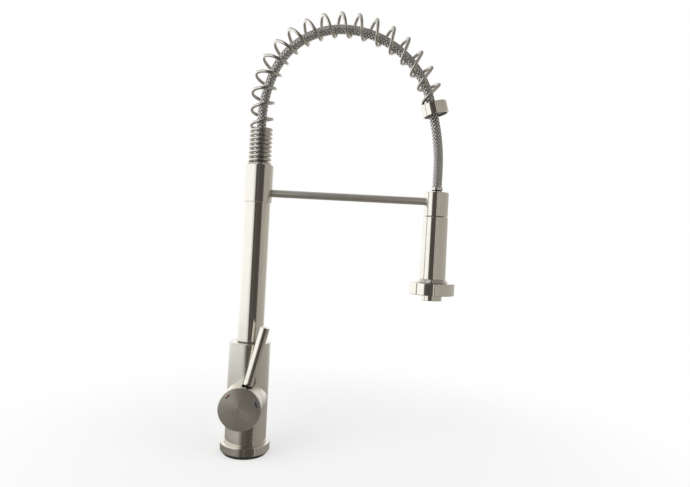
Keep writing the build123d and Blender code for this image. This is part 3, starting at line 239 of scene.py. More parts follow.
both = add(paint, "ShaderNodeMixShader", {0: solid, 1: clear, 2: glow})
add(paint, "ShaderNodeOutputMaterial", {"Surface": both})
left, right = (CARD_LEFT, CARD_LEFT_Y), (CARD_RIGHT, CARD_RIGHT_Y)
card = standing_card("dark_card", left, right, CARD_FOOT, CARD_TOP, card_black)

# The hub's card is small and grey, darker to the right, and stands before the hub's face.
HUB_CARD_LEFT, HUB_CARD_RIGHT = -60, 12
HUB_CARD_FOOT, HUB_CARD_TOP = 1, 53
HUB_CARD_Y = -143
SHADE_LEFT, SHADE_RIGHT = -45, 0
card_grey, paint = cleared("grey_card")
place = add(paint, "ShaderNodeTexCoord")
part = add(paint, "ShaderNodeSeparateXYZ", {0: place.outputs["Object"]})
shade = {"Value": part.outputs["X"], "From Min": SHADE_LEFT * MM, "From Max": SHADE_RIGHT * MM}
shade.update({"To Min": 0.27, "To Max": 0.15})
level = add(paint, "ShaderNodeMapRange", shade)
glow = add(paint, "ShaderNodeEmission", {"Color": ink("#FFFAF2"), "Strength": level})
add(paint, "ShaderNodeOutputMaterial", {"Surface": glow})
left, right = (HUB_CARD_LEFT, HUB_CARD_Y), (HUB_CARD_RIGHT, HUB_CARD_Y)
hub_card = standing_card("hub_card", left, right, HUB_CARD_FOOT, HUB_CARD_TOP, card_grey)
for panel in (tent, card, hub_card):
    panel.visible_camera = False
    panel.visible_diffuse = False
    panel.visible_shadow = False
    panel.visible_transmission = False
    panel.visible_volume_scatter = False

# The lamps: a wide soft box above on the left and a weaker one on the right, each with its
# place and width in metres and its power in watts. They light the rubber, plastic and
# paint; the metal takes its light from the tent.
LAMPS = [("soft_box_left", (-0.7, -0.9, 1.1), 1.1, 8.0), ("soft_box_right", (1.0, -0.6, 0.9), 1.0, 3.5)]
AIM = Vector((0.08, 0, 0.2))
for name, spot, size, power in LAMPS:
    lamp = bpy.data.lights.new(name, "AREA")
    lamp.size = size
    lamp.energy = power
    box = bpy.data.objects.new(name, lamp)
    box.location = spot
    box.rotation_euler = (AIM - Vector(spot)).to_track_quat("-Z", "Y").to_euler()
    box.visible_glossy = False
    bpy.context.scene.collection.objects.link(box)


def finish_of(name, colour, roughness, metallic=0.0, **more):
    """A material with one Principled shader; returns it with its tree and its shader."""
    material, tree = cleared(name)
    fixed = {"Base Color": ink(colour), "Roughness": roughness, "Metallic": metallic, **more}
    shader = add(tree, "ShaderNodeBsdfPrincipled", fixed)
    add(tree, "ShaderNodeOutputMaterial", {"Surface": shader})
    return material, tree, shader


def grained(name, colour, other, grain, height, roughness, metallic=0.0, **more):
    """A moulded, cast or ground finish with grains of a width and a height in millimetres.

    Its colour wanders between two shades in clouds of twelve grains, its gloss is uneven
    from grain to grain, and each grain stands up a little. Real grain, about a tenth of a
    millimetre wide, is drawn several times as coarse to show.
    """
    uneven = 0.05
    cloud = 12 * grain
    material, tree, shader = finish_of(name, colour, roughness, metallic, **more)
    spot = add(tree, "ShaderNodeTexCoord").outputs["Object"]
    fine = add(tree, "ShaderNodeTexNoise", {"Vector": spot, "Scale": 1 / (grain * MM), "Detail": 3.0})
    broad = add(tree, "ShaderNodeTexNoise", {"Vector": spot, "Scale": 1 / (cloud * MM), "Detail": 2.0})
    tint = add(tree, "ShaderNodeMix", {0: broad, 6: ink(colour), 7: ink(other)}, data_type="RGBA")
    spread = {"Value": fine, "From Min": 0.3, "From Max": 0.7}
    spread.update({"To Min": roughness - uneven, "To Max": roughness + uneven})
    gloss = add(tree, "ShaderNodeMapRange", spread)
    relief = add(tree, "ShaderNodeBump", {"Height": fine, "Distance": height * MM, "Strength": 0.5})
    tree.links.new(tint.outputs[2], shader.inputs["Base Color"])
    tree.links.new(gloss.outputs[0], shader.inputs["Roughness"])
    tree.links.new(relief.outputs[0], shader.inputs["Normal"])
    return material


def coat(material, *names):
    """Puts a finish on CAD nodes that are shown as they are."""
    for name in names:
        for slot in cad[name].material_slots:
            slot.material = material
        if not cad[name].material_slots:
            cad[name].data.materials.append(material)


# Rubber: near black with a dull sheen, because its skin scatters light like fine sand.
rubber = grained("moulded_black_rubber", "#303031", "#3C3C3D", grain=0.5, height=0.02, roughness=0.5)
coat(rubber, "deck_gasket")


# The flange: a round brass plate round the body's foot. Like all the outer metal it is
# turned, brushed round and plated with nickel.
def box_of(name):
    """The lowest and the highest corner of a CAD node, in millimetres."""
    low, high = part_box(name)
    return low / MM, high / MM


# Satin nickel: warm grey, and the brushing draws each reflection out along the piece. The
# lines of the brush, a tenth of a millimetre apart in truth, are drawn half a millimetre
# apart to show.
def brushed_nickel(name, centre, axis, roughness=0.17, stretch=0.7, depth=0.0003):
    """Nickel brushed round the axis of one piece; centre and depth are in millimetres.

    The lines run round the piece and change slowly on the way. Broader streaks make the
    gloss uneven, and the colour has a faint haze.
    """
    uneven = 0.04
    bright, dull = "#E6E2D8", "#DFDACE"
    brush_gap = 0.5
    streak = 7 * brush_gap
    haze_width = 16.67
    change_round = 0.06
    material, tree, shader = finish_of(name, bright, roughness, 1.0, Anisotropic=stretch)
    shader.inputs["Anisotropic Rotation"].default_value = 0.25
    spot = add(tree, "ShaderNodeTexCoord").outputs["Object"]
    shift = [-place * MM for place in centre]
    shifted = add(tree, "ShaderNodeMapping", {"Vector": spot, "Location": shift})
    way = Vector(axis).normalized()
    side_way = way.orthogonal().normalized()

    round_it = add(tree, "ShaderNodeVectorMath", {0: way, 1: shifted}, operation="CROSS_PRODUCT")
    spaces = {"vector_type": "VECTOR", "convert_from": "OBJECT", "convert_to": "WORLD"}
    tangent = add(tree, "ShaderNodeVectorTransform", {0: round_it}, **spaces)
    along = add(tree, "ShaderNodeVectorMath", {0: way, 1: shifted}, operation="DOT_PRODUCT")
    outward = add(tree, "ShaderNodeVectorMath", {0: round_it}, operation="LENGTH")
    side = add(tree, "ShaderNodeVectorMath", {0: side_way, 1: shifted}, operation="DOT_PRODUCT")
    slow = {0: side.outputs["Value"], 1: change_round}
    slow = add(tree, "ShaderNodeMath", slow, operation="MULTIPLY")
    parts = {0: along.outputs["Value"], 1: outward.outputs["Value"], 2: slow}
    brush = add(tree, "ShaderNodeCombineXYZ", parts)

    fine = {"Vector": brush, "Scale": 1 / (brush_gap * MM), "Detail": 2.0, "Roughness": 0.6}
    lines = add(tree, "ShaderNodeTexNoise", fine)
    bands = add(tree, "ShaderNodeTexNoise", {"Vector": brush, "Scale": 1 / (streak * MM), "Detail": 2.0})
    cloudy = {"Vector": spot, "Scale": 1 / (haze_width * MM), "Detail": 2.0}
    haze = add(tree, "ShaderNodeTexNoise", cloudy)
    tint = add(tree, "ShaderNodeMix", {0: haze, 6: ink(bright), 7: ink(dull)}, data_type="RGBA")
    mixed = add(tree, "ShaderNodeMath", {0: lines, 1: bands}, operation="ADD")
    spread = {"Value": mixed, "From Min": 0.7, "From Max": 1.3}
    spread.update({"To Min": roughness - uneven, "To Max": roughness + uneven})
    gloss = add(tree, "ShaderNodeMapRange", spread)
    relief = add(tree, "ShaderNodeBump", {"Height": lines, "Distance": depth * MM, "Strength": 1.0})
    tree.links.new(tangent.outputs[0], shader.inputs["Tangent"])
    tree.links.new(tint.outputs[2], shader.inputs["Base Color"])
    tree.links.new(gloss.outputs[0], shader.inputs["Roughness"])
    tree.links.new(relief.outputs[0], shader.inputs["Normal"])
    return material


def rounded(start, corner, end, share):
    """A point of the curve that rounds a corner, by its share of the way."""
    return start * (1 - share) ** 2 + corner * 2 * share * (1 - share) + end * share ** 2


def softened(outline, radius):
    """Rounds the corners of a closed outline of (radius, height) points.

    A point on each side, half as far again from the corner, keeps the flat sides flat.
    """
    longest_share = 0.3
    hold = 1.5
    steps = 4
    soft = []
    count = len(outline)
    for at in range(count):
        before, corner, after = (Vector(outline[(at + step) % count]) for step in (-1, 0, 1))
        back, on = before - corner, after - corner
        cut = min(radius, back.length * longest_share, on.length * longest_share)
        start = corner + back.normalized() * cut
        end = corner + on.normalized() * cut
        soft.append(corner + back.normalized() * cut * hold)
        soft += [rounded(start, corner, end, step / steps) for step in range(steps + 1)]
        soft.append(corner + on.normalized() * cut * hold)
    return soft


def turned_piece(name, outline, material, centre=(0, 0, 0), axis=(0, 0, 1), edge=0.3, segments=128):
    """A piece turned about an axis from a closed outline, with softly rounded edges."""
    outline = softened(outline, edge)
    turn = Vector((0, 0, 1)).rotation_difference(Vector(axis)).to_matrix()
    points, faces = [], []
    for r, h in outline:
        for step in range(segments):
            angle = 2 * math.pi * step / segments
            points.append(Vector(centre) + turn @ Vector((r * math.cos(angle), r * math.sin(angle), h)))
    for row in range(len(outline)):
        here = row * segments
        above = (row + 1) % len(outline) * segments
        for step in range(segments):
            after = (step + 1) % segments
            faces.append((here + step, here + after, above + after, above + step))
    piece = mesh_piece(name, points, faces, material, smooth=True)
    shell = bmesh.new()
    shell.from_mesh(piece.data)
    bmesh.ops.remove_doubles(shell, verts=shell.verts, dist=1e-7)
    bmesh.ops.recalc_face_normals(shell, faces=shell.faces)
    shell.to_mesh(piece.data)
    shell.free()
    return piece


UP = Vector((0, 0, 1))
FLANGE_GAP = 0.1
SHANK_GAP = 0.4
flange_low, flange_high = box_of("base_flange")
body_low, body_high = box_of("lower_body")
foot_hole = body_high.x + FLANGE_GAP
shank_hole = box_of("mounting_shank")[1].x + SHANK_GAP
flange_outline = [
    (shank_hole, flange_low.z),
    (flange_high.x, flange_low.z),
    (flange_high.x, flange_high.z),
    (foot_hole, flange_high.z),
    (foot_hole, body_low.z),
    (shank_hole, body_low.z),
]
upright_nickel = brushed_nickel("brushed_nickel_upright", (0, 0, 0), UP)
flange = turned_piece("flange_turned", flange_outline, upright_nickel, edge=0.8)
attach(flange, "base")
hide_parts("base_flange")

# The fixing under the worktop: a threaded brass shank, a rubber washer, a zinc plated
# steel washer and a brass nut with six flats. Turned brass is warm and a little streaky
# from the lathe; zinc plating is cooler, in broad patches of two greys.
brass_shades = ("#C9A566", "#B8924F")
zinc_shades = ("#C9CCCE", "#B3B6B5")
brass = grained("turned_brass", *brass_shades, grain=0.4, height=0.004, roughness=0.30, metallic=1.0)
zinc = grained("zinc_plated_steel", *zinc_shades, grain=1.2, height=0.004, roughness=0.34, metallic=1.0)
coat(brass, "mounting_shank", "mounting_nut")
coat(zinc, "clamp_steel_washer")
coat(rubber, "clamp_rubber_washer")

# The lower body: a brass casting with a short stub in front for the cartridge, turned,
# brushed and nickel plated, with a small headless screw at the back. Its satin is softer
# and shallower than the flange's; the screw's stainless steel is a plain even grey.
steel_shades = ("#BCBBB8", "#A9A8A5")
body_nickel = brushed_nickel("brushed_nickel_body", (0, 0, 0), UP, roughness=0.26, depth=0.00005)
stainless = grained(
    "turned_stainless_steel", *steel_shades, grain=0.4, height=0.003, roughness=0.28, metallic=1.0
)
coat(body_nickel, "lower_body")
coat(stainless, "body_screw")

# The cartridge in the stub: a moulded body and spindle, two ground ceramic discs that
# slide on each other, a steel pivot pin, a brass stem and nut, and rubber seals. Acetal is
# milky with a soft gloss, ground ceramic smoother and whiter, black plastic softly shiny.
acetal = grained("moulded_white_acetal", "#E1E0DA", "#D6D5CE", grain=0.6, height=0.006, roughness=0.42)
ceramic = grained("ground_ceramic", "#ECEAE4", "#E2E0D8", grain=0.3, height=0.001, roughness=0.22)
plastic = grained("moulded_black_plastic", "#18181A", "#222224", grain=0.4, height=0.01, roughness=0.40)
coat(acetal, "cartridge_body", "cartridge_spindle", "disc_carrier")
coat(ceramic, "fixed_disc", "moving_disc")
coat(rubber, "cartridge_seals", "cap_oring")
coat(stainless, "stem_pivot_pin")
coat(brass, "cartridge_stem", "cartridge_nut")
coat(plastic, "cap_guide_ring")

# The handle: a brushed nickel cap over the stub, with a red and a blue mark let into its
# face, a brass block inside it and a plain round lever screwed into the block. The marks
# are stoved enamel, dark with a glassy top that takes a small sharp light.
HUB_HEIGHT = 59.3
LEVER_PLACE = (0, -29.8, HUB_HEIGHT)
LEVER_LEAN = math.radians(13.5)
LEVER_R = 5
LEVER_FOOT, LEVER_TIP = 7.4, 83.4
AXIS_R = 0.02


def sleeve(inner, outer, low, high):
    """The outline of a plain sleeve; a solid rod has a hair's width left open on its axis."""
    return [(inner, low), (outer, low), (outer, high), (inner, high)]


hub_nickel = brushed_nickel(
    "brushed_nickel_hub", (0, 0, HUB_HEIGHT), (0, 1, 0), roughness=0.28, depth=0.0002
)
glaze = {"Coat Weight": 0.5, "Coat Roughness": 0.08}
red = grained("red_enamel", "#6B1D17", "#5A1813", grain=0.5, height=0.003, roughness=0.18, **glaze)
blue = grained("blue_enamel", "#1E2F52", "#192845", grain=0.5, height=0.003, roughness=0.18, **glaze)
coat(hub_nickel, "handle_cap")
coat(red, "hot_mark")
coat(blue, "cold_mark")
coat(brass, "handle_block")
coat(stainless, "handle_set_screw")
lever_way = (math.sin(LEVER_LEAN), 0, math.cos(LEVER_LEAN))
lever_nickel = brushed_nickel("brushed_nickel_lever", LEVER_PLACE, lever_way)
lever_outline = sleeve(AXIS_R, LEVER_R, LEVER_FOOT, LEVER_TIP)
lever = turned_piece(
    "lever_turned", lever_outline, lever_nickel, LEVER_PLACE, lever_way, edge=0.8, segments=96
)
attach(lever, "handle")
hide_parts("lever_rod")

# The swivel in the body: a plastic washer, a brass spigot with two rubber rings, and the
# adapter that the hose is crimped to. The washer shows as one dull grey line.
washer_shades = ("#77736C", "#6C6963")
washer_plastic = grained("grey_swivel_plastic", *washer_shades, grain=0.5, height=0.01, roughness=0.45)
coat(washer_plastic, "swivel_washer")
coat(brass, "swivel_spigot", "hose_adapter")
coat(rubber, "spigot_orings")
coat(stainless, "lower_ferrule", "collar_screw")

# The column: a plain brass tube, brushed round and nickel plated, and the collar that
# slides over it, clamps the arm and holds the spring's seat.
COLUMN_WALL = 3
column_low, column_high = box_of("column_tube")
column_outline = sleeve(column_high.x - COLUMN_WALL, column_high.x, column_low.z, column_high.z)
column = turned_piece("column_turned", column_outline, upright_nickel, edge=0.4)
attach(column, "spout")
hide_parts("column_tube")
coat(upright_nickel, "collar")
coat(plastic, "spring_seat")


# The spring: one plated steel wire, 3.6 mm thick, wound close above the collar and open
# round the arch. It starts upright on its seat and ends straight in the end ring.
WIRE_R = 1.8
BEND_R = 4.4
START_ANGLE = math.radians(-54)

# The winding by turns, pitches and mean radii. It swells where it opens, and towards its
# end the turns spread and lean a little and narrow to fit the end ring.
CLOSE, CHANGE, OPEN = 8.75, 0.7, 16.7
TURNS = CLOSE + CHANGE + OPEN
CLOSE_PITCH, OPEN_PITCH = 4.6, 17.67
CLOSE_R, OPEN_R, TAPER_R, END_R = 10.9, 12.1, 11.0, 9.2
SWELL_TURNS, TAPER_TURNS, END_TURNS = 4, 4, 0.5
STRETCH_TURNS, STRETCH_PITCH = 6, 0.75
LEAN_TURNS, LEAN_END = 8, 3

# The arch: straight up from the seat, a small arc up and a larger one down to the end's
# tilt. The larger arc runs a little outside the hose's, which has to come back to plumb
# on the spray head's axis after a straight slant and a wide bend.
SEAT = box_of("spring_seat")[1].z
ARCH_TOP = 467.3
INNER_R = 85.0
TILT = math.radians(15.5)
SLANT = 15.5
RETURN_R = 220.0
SHOULDER_GAP = 2.0
holder_low, holder_high = box_of("holder")
HEAD_X = (holder_low.x + holder_high.x) / 2
slant_end_x = HEAD_X - RETURN_R * (1 - math.cos(TILT))
SHOULDER_R = (slant_end_x - SLANT * math.sin(TILT) - INNER_R) / math.cos(TILT)
OUTER_R = SHOULDER_R + SHOULDER_GAP
UPRIGHT = ARCH_TOP - INNER_R - SEAT
RISE = INNER_R * math.pi / 2
FALL = OUTER_R * (math.pi / 2 - TILT)


def arch(run):
    """A point of the arch's centre line and its direction, by distance from the seat."""
    if run < UPRIGHT:
        return Vector((0, 0, SEAT + run)), Vector((0, 0, 1))
    run -= UPRIGHT
    if run < RISE:
        a = run / INNER_R
        x = INNER_R * (1 - math.cos(a))
        z = ARCH_TOP - INNER_R * (1 - math.sin(a))
        return Vector((x, 0, z)), Vector((math.sin(a), 0, math.cos(a)))
    run -= RISE
    a = min(run, FALL) / OUTER_R
    x = INNER_R + OUTER_R * math.sin(a)
    z = ARCH_TOP - OUTER_R * (1 - math.cos(a))
    way = Vector((math.cos(a), 0, -math.sin(a)))
    return Vector((x, 0, z)) + way * max(run - FALL, 0), way


def share_of(value):
    """Nought below nought, one above one, and straight between them."""
    return min(max(value, 0), 1)


# The first turn starts where the wire has stood up a length of its own width and bent.
first_slope = math.atan2(CLOSE_PITCH, 2 * math.pi * CLOSE_R)
FIRST_RUN = 2 * WIRE_R + BEND_R * math.tan(math.pi / 4 - first_slope / 2) * (1 + math.sin(first_slope))


def wound(turn):
    """A point of the wire's centre line, by turns from the first."""
    change = share_of((turn - CLOSE) / CHANGE) * CHANGE
    run = CLOSE_PITCH * min(turn, CLOSE)
    run += CLOSE_PITCH * change + (OPEN_PITCH - CLOSE_PITCH) * change * change / (2 * CHANGE)
    run += OPEN_PITCH * max(turn - CLOSE - CHANGE, 0)
    run += STRETCH_PITCH * max(turn - TURNS + STRETCH_TURNS, 0)
    radius = CLOSE_R + (OPEN_R - CLOSE_R) * share_of((turn - CLOSE) / SWELL_TURNS)
    radius += (TAPER_R - OPEN_R) * share_of((turn - TURNS + END_TURNS + TAPER_TURNS) / TAPER_TURNS)
    radius += (END_R - TAPER_R) * share_of((turn - TURNS + END_TURNS) / END_TURNS)
    angle = 2 * math.pi * turn + START_ANGLE
    lean = LEAN_END * share_of((turn - TURNS + LEAN_TURNS) / LEAN_TURNS)
    point, way = arch(FIRST_RUN + run - lean * math.cos(angle))
    outward = Vector((-way.z, 0, way.x))
    return point + outward * (radius * math.cos(angle)) + way.cross(outward) * (radius * math.sin(angle))


def bend_reach(way, other):
    """How far a bend between two directions reaches from its corner, along each side."""
    return BEND_R * math.tan(way.angle(other) / 2)


def bend_points(start, corner, end):
    """Four points that round a bend between its two ends, headed for its corner."""
    return [rounded(start, corner, end, step / 5) for step in (1, 2, 3, 4)]


def line_piece(name, points):
    """A bare line through points, for a tree to work on."""
    mesh = bpy.data.meshes.new(name)
    links = [(at, at + 1) for at in range(len(points) - 1)]
    mesh.from_pydata([Vector(point) * MM for point in points], links, [])
    line = bpy.data.objects.new(name, mesh)
    bpy.context.scene.collection.objects.link(line)
    return line


def sized_tree(name, sizes):
    """An empty tree with a line in, a mesh out and a named input for each size."""
    tree = bpy.data.node_groups.new(name, "GeometryNodeTree")
    tree.interface.new_socket("Line", in_out="INPUT", socket_type="NodeSocketGeometry")
    for label in sizes:
        kind = "NodeSocketInt" if label.endswith("count") else "NodeSocketFloat"
        tree.interface.new_socket(label, in_out="INPUT", socket_type=kind)
    tree.interface.new_socket("Mesh", in_out="OUTPUT", socket_type="NodeSocketGeometry")
    return tree, add(tree, "NodeGroupInput").outputs


def close_tree(tree, mesh, material):
    """The end of every tree: smooth faces, real meshes and the finish."""
    smooth = add(tree, "GeometryNodeSetShadeSmooth", {0: mesh})
    real = add(tree, "GeometryNodeRealizeInstances", {0: smooth})
    coated = add(tree, "GeometryNodeSetMaterial", {"Geometry": real, "Material": material})
    add(tree, "NodeGroupOutput", {0: coated})


def round_tree(name, material):
    """A tree that sweeps a round section along a line, for the wire and for the hose."""
    tree, size = sized_tree(name, ("Radius", "Side count"))
    path = add(tree, "GeometryNodeMeshToCurve", {0: size["Line"]})
    sizes = {"Radius": size["Radius"], "Resolution": size["Side count"]}
    section = add(tree, "GeometryNodeCurvePrimitiveCircle", sizes)
    parts = {"Curve": path, "Profile Curve": section, "Fill Caps": True}
    close_tree(tree, add(tree, "GeometryNodeCurveToMesh", parts), material)
    return tree


def worked(name, tree, line, sizes):
    """Runs a tree on a line and returns what it makes as a plain mesh piece."""
    modifier = line.modifiers.new(name, "NODES")
    modifier.node_group = tree
    for socket in tree.interface.items_tree:
        if socket.name in sizes:
            modifier[socket.identifier] = sizes[socket.name]
    bpy.context.view_layer.update()
    mesh = bpy.data.meshes.new_from_object(line.evaluated_get(bpy.context.evaluated_depsgraph_get()))
    line.modifiers.clear()
    bpy.data.objects.remove(line)
    mesh.name = name
    piece = bpy.data.objects.new(name, mesh)
    bpy.context.scene.collection.objects.link(piece)
    return piece


WIRE_STEPS = 1250
BEND_CORNER = 0.56
SHORT_TURN = 0.001
down = Vector((math.sin(TILT), 0, -math.cos(TILT)))
first, last = wound(0), wound(TURNS)
first_way = (wound(SHORT_TURN) - first).normalized()
last_way = (last - wound(TURNS - SHORT_TURN)).normalized()
start_bend = first - (first_way + UP) * bend_reach(first_way, UP)
end_bend = last + (last_way + down) * bend_reach(last_way, down)
foot = start_bend - UP * 2 * WIRE_R
tip = end_bend + down * 2 * WIRE_R
start_corner = first - first_way * (first - start_bend).length * BEND_CORNER
end_corner = last + last_way * (end_bend - last).length * BEND_CORNER
wire_line = [foot, (foot + start_bend) / 2, start_bend]
wire_line += bend_points(start_bend, start_corner, first)
wire_line += [wound(TURNS * step / WIRE_STEPS) for step in range(WIRE_STEPS + 1)]
wire_line += bend_points(last, end_corner, end_bend)
wire_line += [end_bend, (end_bend + tip) / 2, tip]

# Plated wire: drawn, so it is smooth all along, with soft edges to its reflections. The
# blend's places are in metres, as the frame gives them.
wire_shades = ("#DFDBD2", "#D2CDC2")
wire_nickel = grained(
    "plated_spring_wire", *wire_shades, grain=0.35, height=0.0015, roughness=0.22, metallic=1.0
)
wire_tree = round_tree("wire along a line", wire_nickel)
wire_sizes = {"Radius": WIRE_R * MM, "Side count": 16}
spring = worked("spring_wound", wire_tree, line_piece("spring_line", wire_line), wire_sizes)
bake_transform(spring)
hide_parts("spring")


# The hose: a rubber tube in a braid of bright steel wire, 10 mm thick. Flat bands of wire
# go round it both ways at 45 degrees, each one over and under the others. The real bands
# are narrower, with twelve or more each way; eight are drawn, so that they show.
def bent(start, way, turn, radius, count):
    """Points of an arc in the plane of the arch that starts in a given direction."""
    side = Vector((way.z, 0, -way.x))
    points = []
    for step in range(1, count + 1):
        a = turn * step / count
        points.append(start + way * (radius * math.sin(a)) + side * (radius * (1 - math.cos(a))))
    return points


def straight(start, way, length, count):
    """Points of a straight stretch."""
    return [start + way * (length * step / count) for step in range(1, count + 1)]


# The route: up the column, an easy bend off the plumb line, the arch, the shoulder, the
# slant, and a wide bend back to plumb down into the spray head.
HOSE_R = 5.0
SPRING_GAP = 0.6
HOSE_ARCH_R = INNER_R - (OPEN_R - WIRE_R - HOSE_R - SPRING_GAP)
EASE_R = 150.0
HOSE_FOOT, HOSE_END = 143, 273.4
UPRIGHT_STEP = 3
ease_turn = math.acos((EASE_R - INNER_R) / (EASE_R - HOSE_ARCH_R))
ease_z = ARCH_TOP - INNER_R - (EASE_R - HOSE_ARCH_R) * math.sin(ease_turn)
ease_way = Vector((math.sin(ease_turn), 0, math.cos(ease_turn)))
hose_line = [Vector((0, 0, z)) for z in range(HOSE_FOOT, int(ease_z), UPRIGHT_STEP)]
hose_line.append(Vector((0, 0, ease_z)))
hose_line += bent(hose_line[-1], UP, ease_turn, EASE_R, count=20)
hose_line += bent(hose_line[-1], ease_way, math.pi / 2 - ease_turn, HOSE_ARCH_R, count=45)
hose_line += bent(hose_line[-1], Vector((1, 0, 0)), math.pi / 2 - TILT, SHOULDER_R, count=60)
hose_line += straight(hose_line[-1], down, SLANT, count=6)
hose_line += bent(hose_line[-1], down, TILT, RETURN_R, count=24)
hose_line += straight(hose_line[-1], -UP, hose_line[-1].z - HOSE_END, count=20)

# Braided steel wire: bright bands with the dark of the crossings between them, partly the rubber tube
# showing and partly painted shade. Each band has a ridge for each of its wires, and its colour is darkened
# to a painted shade where it dips under the others.
WIRES_IN_BAND = 9
WIRE_HEIGHT = 0.04
MOTTLE_WIDTH = 2
braid_wire, tree, shader = finish_of("braided_steel_wire", "#D2D0CC", roughness=0.15, metallic=1.0)
band = add(tree, "ShaderNodeAttribute", attribute_name="across_band")
ridges = {0: band.outputs["Fac"], 1: 2 * math.pi * WIRES_IN_BAND}
wires = add(tree, "ShaderNodeMath", ridges, operation="MULTIPLY")
ridge = add(tree, "ShaderNodeMath", {0: wires}, operation="COSINE")
relief = add(tree, "ShaderNodeBump", {"Height": ridge, "Distance": WIRE_HEIGHT * MM, "Strength": 0.3})
spot = add(tree, "ShaderNodeTexCoord").outputs["Object"]
mottle = add(tree, "ShaderNodeTexNoise", {"Vector": spot, "Scale": 1 / (MOTTLE_WIDTH * MM), "Detail": 2.0})
tint = add(tree, "ShaderNodeMix", {0: mottle, 6: ink("#F4F2EE"), 7: ink("#D8D5CF")}, data_type="RGBA")
# Painted shade: where a band dips under the others its colour goes over to a dark grey, for the shadow
# that falls there.
lift = add(tree, "ShaderNodeAttribute", attribute_name="over_others")
dip = {"Value": lift.outputs["Fac"], "From Min": -0.2, "From Max": 0.9}
shown = add(tree, "ShaderNodeMapRange", dip, interpolation_type="SMOOTHSTEP")
dip_painted_shade = add(tree, "ShaderNodeMix", {0: shown, 6: ink("#85817B"), 7: tint.outputs[2]}, data_type="RGBA")
tree.links.new(relief.outputs[0], shader.inputs["Normal"])
tree.links.new(dip_painted_shade.outputs[2], shader.inputs["Base Color"])

# The braid's tree: one line for each band, numbered first to last one way and then the
# other, with eight points to each rise and dip of the weave.
POINTS_PER_WEAVE = 8.0
braid_labels = ("Braid radius", "Band width", "Band thickness", "Weave height", "Lead", "Band count")
tree, size = sized_tree("braid along a line", braid_labels)
path = add(tree, "GeometryNodeMeshToCurve", {0: size["Line"]})
in_a_lead = {0: size["Band count"], 1: POINTS_PER_WEAVE}
in_a_lead = add(tree, "ShaderNodeMath", in_a_lead, operation="MULTIPLY")
step = add(tree, "ShaderNodeMath", {0: size["Lead"], 1: in_a_lead}, operation="DIVIDE")
even = add(tree, "GeometryNodeResampleCurve", {"Curve": path, "Length": step}, mode="LENGTH")
both_ways = add(tree, "ShaderNodeMath", {0: size["Band count"], 1: 2.0}, operation="MULTIPLY")
copies = {"Geometry": even, "Amount": both_ways}
bands = add(tree, "GeometryNodeDuplicateElements", copies, domain="SPLINE")

# Where a band stands at each point: its turn round the hose, from its number, its hand
# (one way is minus one, the other one) and how far along the line it is.
number = bands.outputs["Duplicate Index"]
half = add(tree, "ShaderNodeMath", {0: number, 1: size["Band count"]}, operation="DIVIDE")
which = add(tree, "ShaderNodeMath", {0: half}, operation="FLOOR")
hand = add(tree, "ShaderNodeMath", {0: which, 1: 2.0, 2: -1.0}, operation="MULTIPLY_ADD")
run = add(tree, "GeometryNodeSplineParameter")
turns = add(tree, "ShaderNodeMath", {0: run.outputs["Length"], 1: size["Lead"]}, operation="DIVIDE")
handed = add(tree, "ShaderNodeMath", {0: turns, 1: hand}, operation="MULTIPLY")
total = add(tree, "ShaderNodeMath", {0: half, 1: handed}, operation="ADD")
angle = add(tree, "ShaderNodeMath", {0: total, 1: 2 * math.pi}, operation="MULTIPLY")

# Over and under: the band rises and dips once for each two bands that it meets, and the
# bands of the other hand dip where it rises.
beat = add(tree, "ShaderNodeMath", {0: turns, 1: size["Band count"]}, operation="MULTIPLY")
beat = add(tree, "ShaderNodeMath", {0: beat, 1: 2 * math.pi}, operation="MULTIPLY")
weave = add(tree, "ShaderNodeMath", {0: beat}, operation="COSINE")
weave = add(tree, "ShaderNodeMath", {0: weave, 1: hand}, operation="MULTIPLY")
height = {0: weave, 1: size["Weave height"], 2: size["Braid radius"]}
radius = add(tree, "ShaderNodeMath", height, operation="MULTIPLY_ADD")

# The spoke from the hose's centre line to the band, kept from before the line is moved.
tangent = add(tree, "GeometryNodeInputTangent")
outward = add(tree, "ShaderNodeVectorMath", {0: tangent, 1: (0, 1, 0)}, operation="CROSS_PRODUCT")
cosine = add(tree, "ShaderNodeMath", {0: angle}, operation="COSINE")
sine = add(tree, "ShaderNodeMath", {0: angle}, operation="SINE")
forth = add(tree, "ShaderNodeVectorMath", {0: outward, "Scale": cosine}, operation="SCALE")
over = add(tree, "ShaderNodeVectorMath", {0: (0, 1, 0), "Scale": sine}, operation="SCALE")
spoke = add(tree, "ShaderNodeVectorMath", {0: forth, 1: over}, operation="ADD")
held = add(tree, "GeometryNodeCaptureAttribute", {"Geometry": bands}, domain="POINT")
held.capture_items.new("VECTOR", "Spoke")
tree.links.new(spoke.outputs[0], held.inputs["Spoke"])
shift = {0: held.outputs["Spoke"], "Scale": radius}
shift = add(tree, "ShaderNodeVectorMath", shift, operation="SCALE")
note = {"Geometry": held, "Name": "over_others", "Value": weave}
noted = add(tree, "GeometryNodeStoreNamedAttribute", note, data_type="FLOAT", domain="POINT")
wrapped = add(tree, "GeometryNodeSetPosition", {"Geometry": noted, "Offset": shift})
facing = {"Curve": wrapped, "Normal": held.outputs["Spoke"]}
faced = add(tree, "GeometryNodeSetCurveNormal", facing, mode="FREE")

# The flat section of a band, which carries how far across the band each point is.
flat = {"Width": size["Band thickness"], "Height": size["Band width"]}
flat = add(tree, "GeometryNodeCurvePrimitiveQuadrilateral", flat, mode="RECTANGLE")
where = add(tree, "GeometryNodeInputPosition")
split = add(tree, "ShaderNodeSeparateXYZ", {0: where})
part = {0: split.outputs["Y"], 1: size["Band width"]}
part = add(tree, "ShaderNodeMath", part, operation="DIVIDE")
note = {"Geometry": flat, "Name": "across_band", "Value": part}
marked = add(tree, "GeometryNodeStoreNamedAttribute", note, data_type="FLOAT", domain="POINT")
parts = {"Curve": faced, "Profile Curve": marked, "Fill Caps": True}
close_tree(tree, add(tree, "GeometryNodeCurveToMesh", parts), braid_wire)

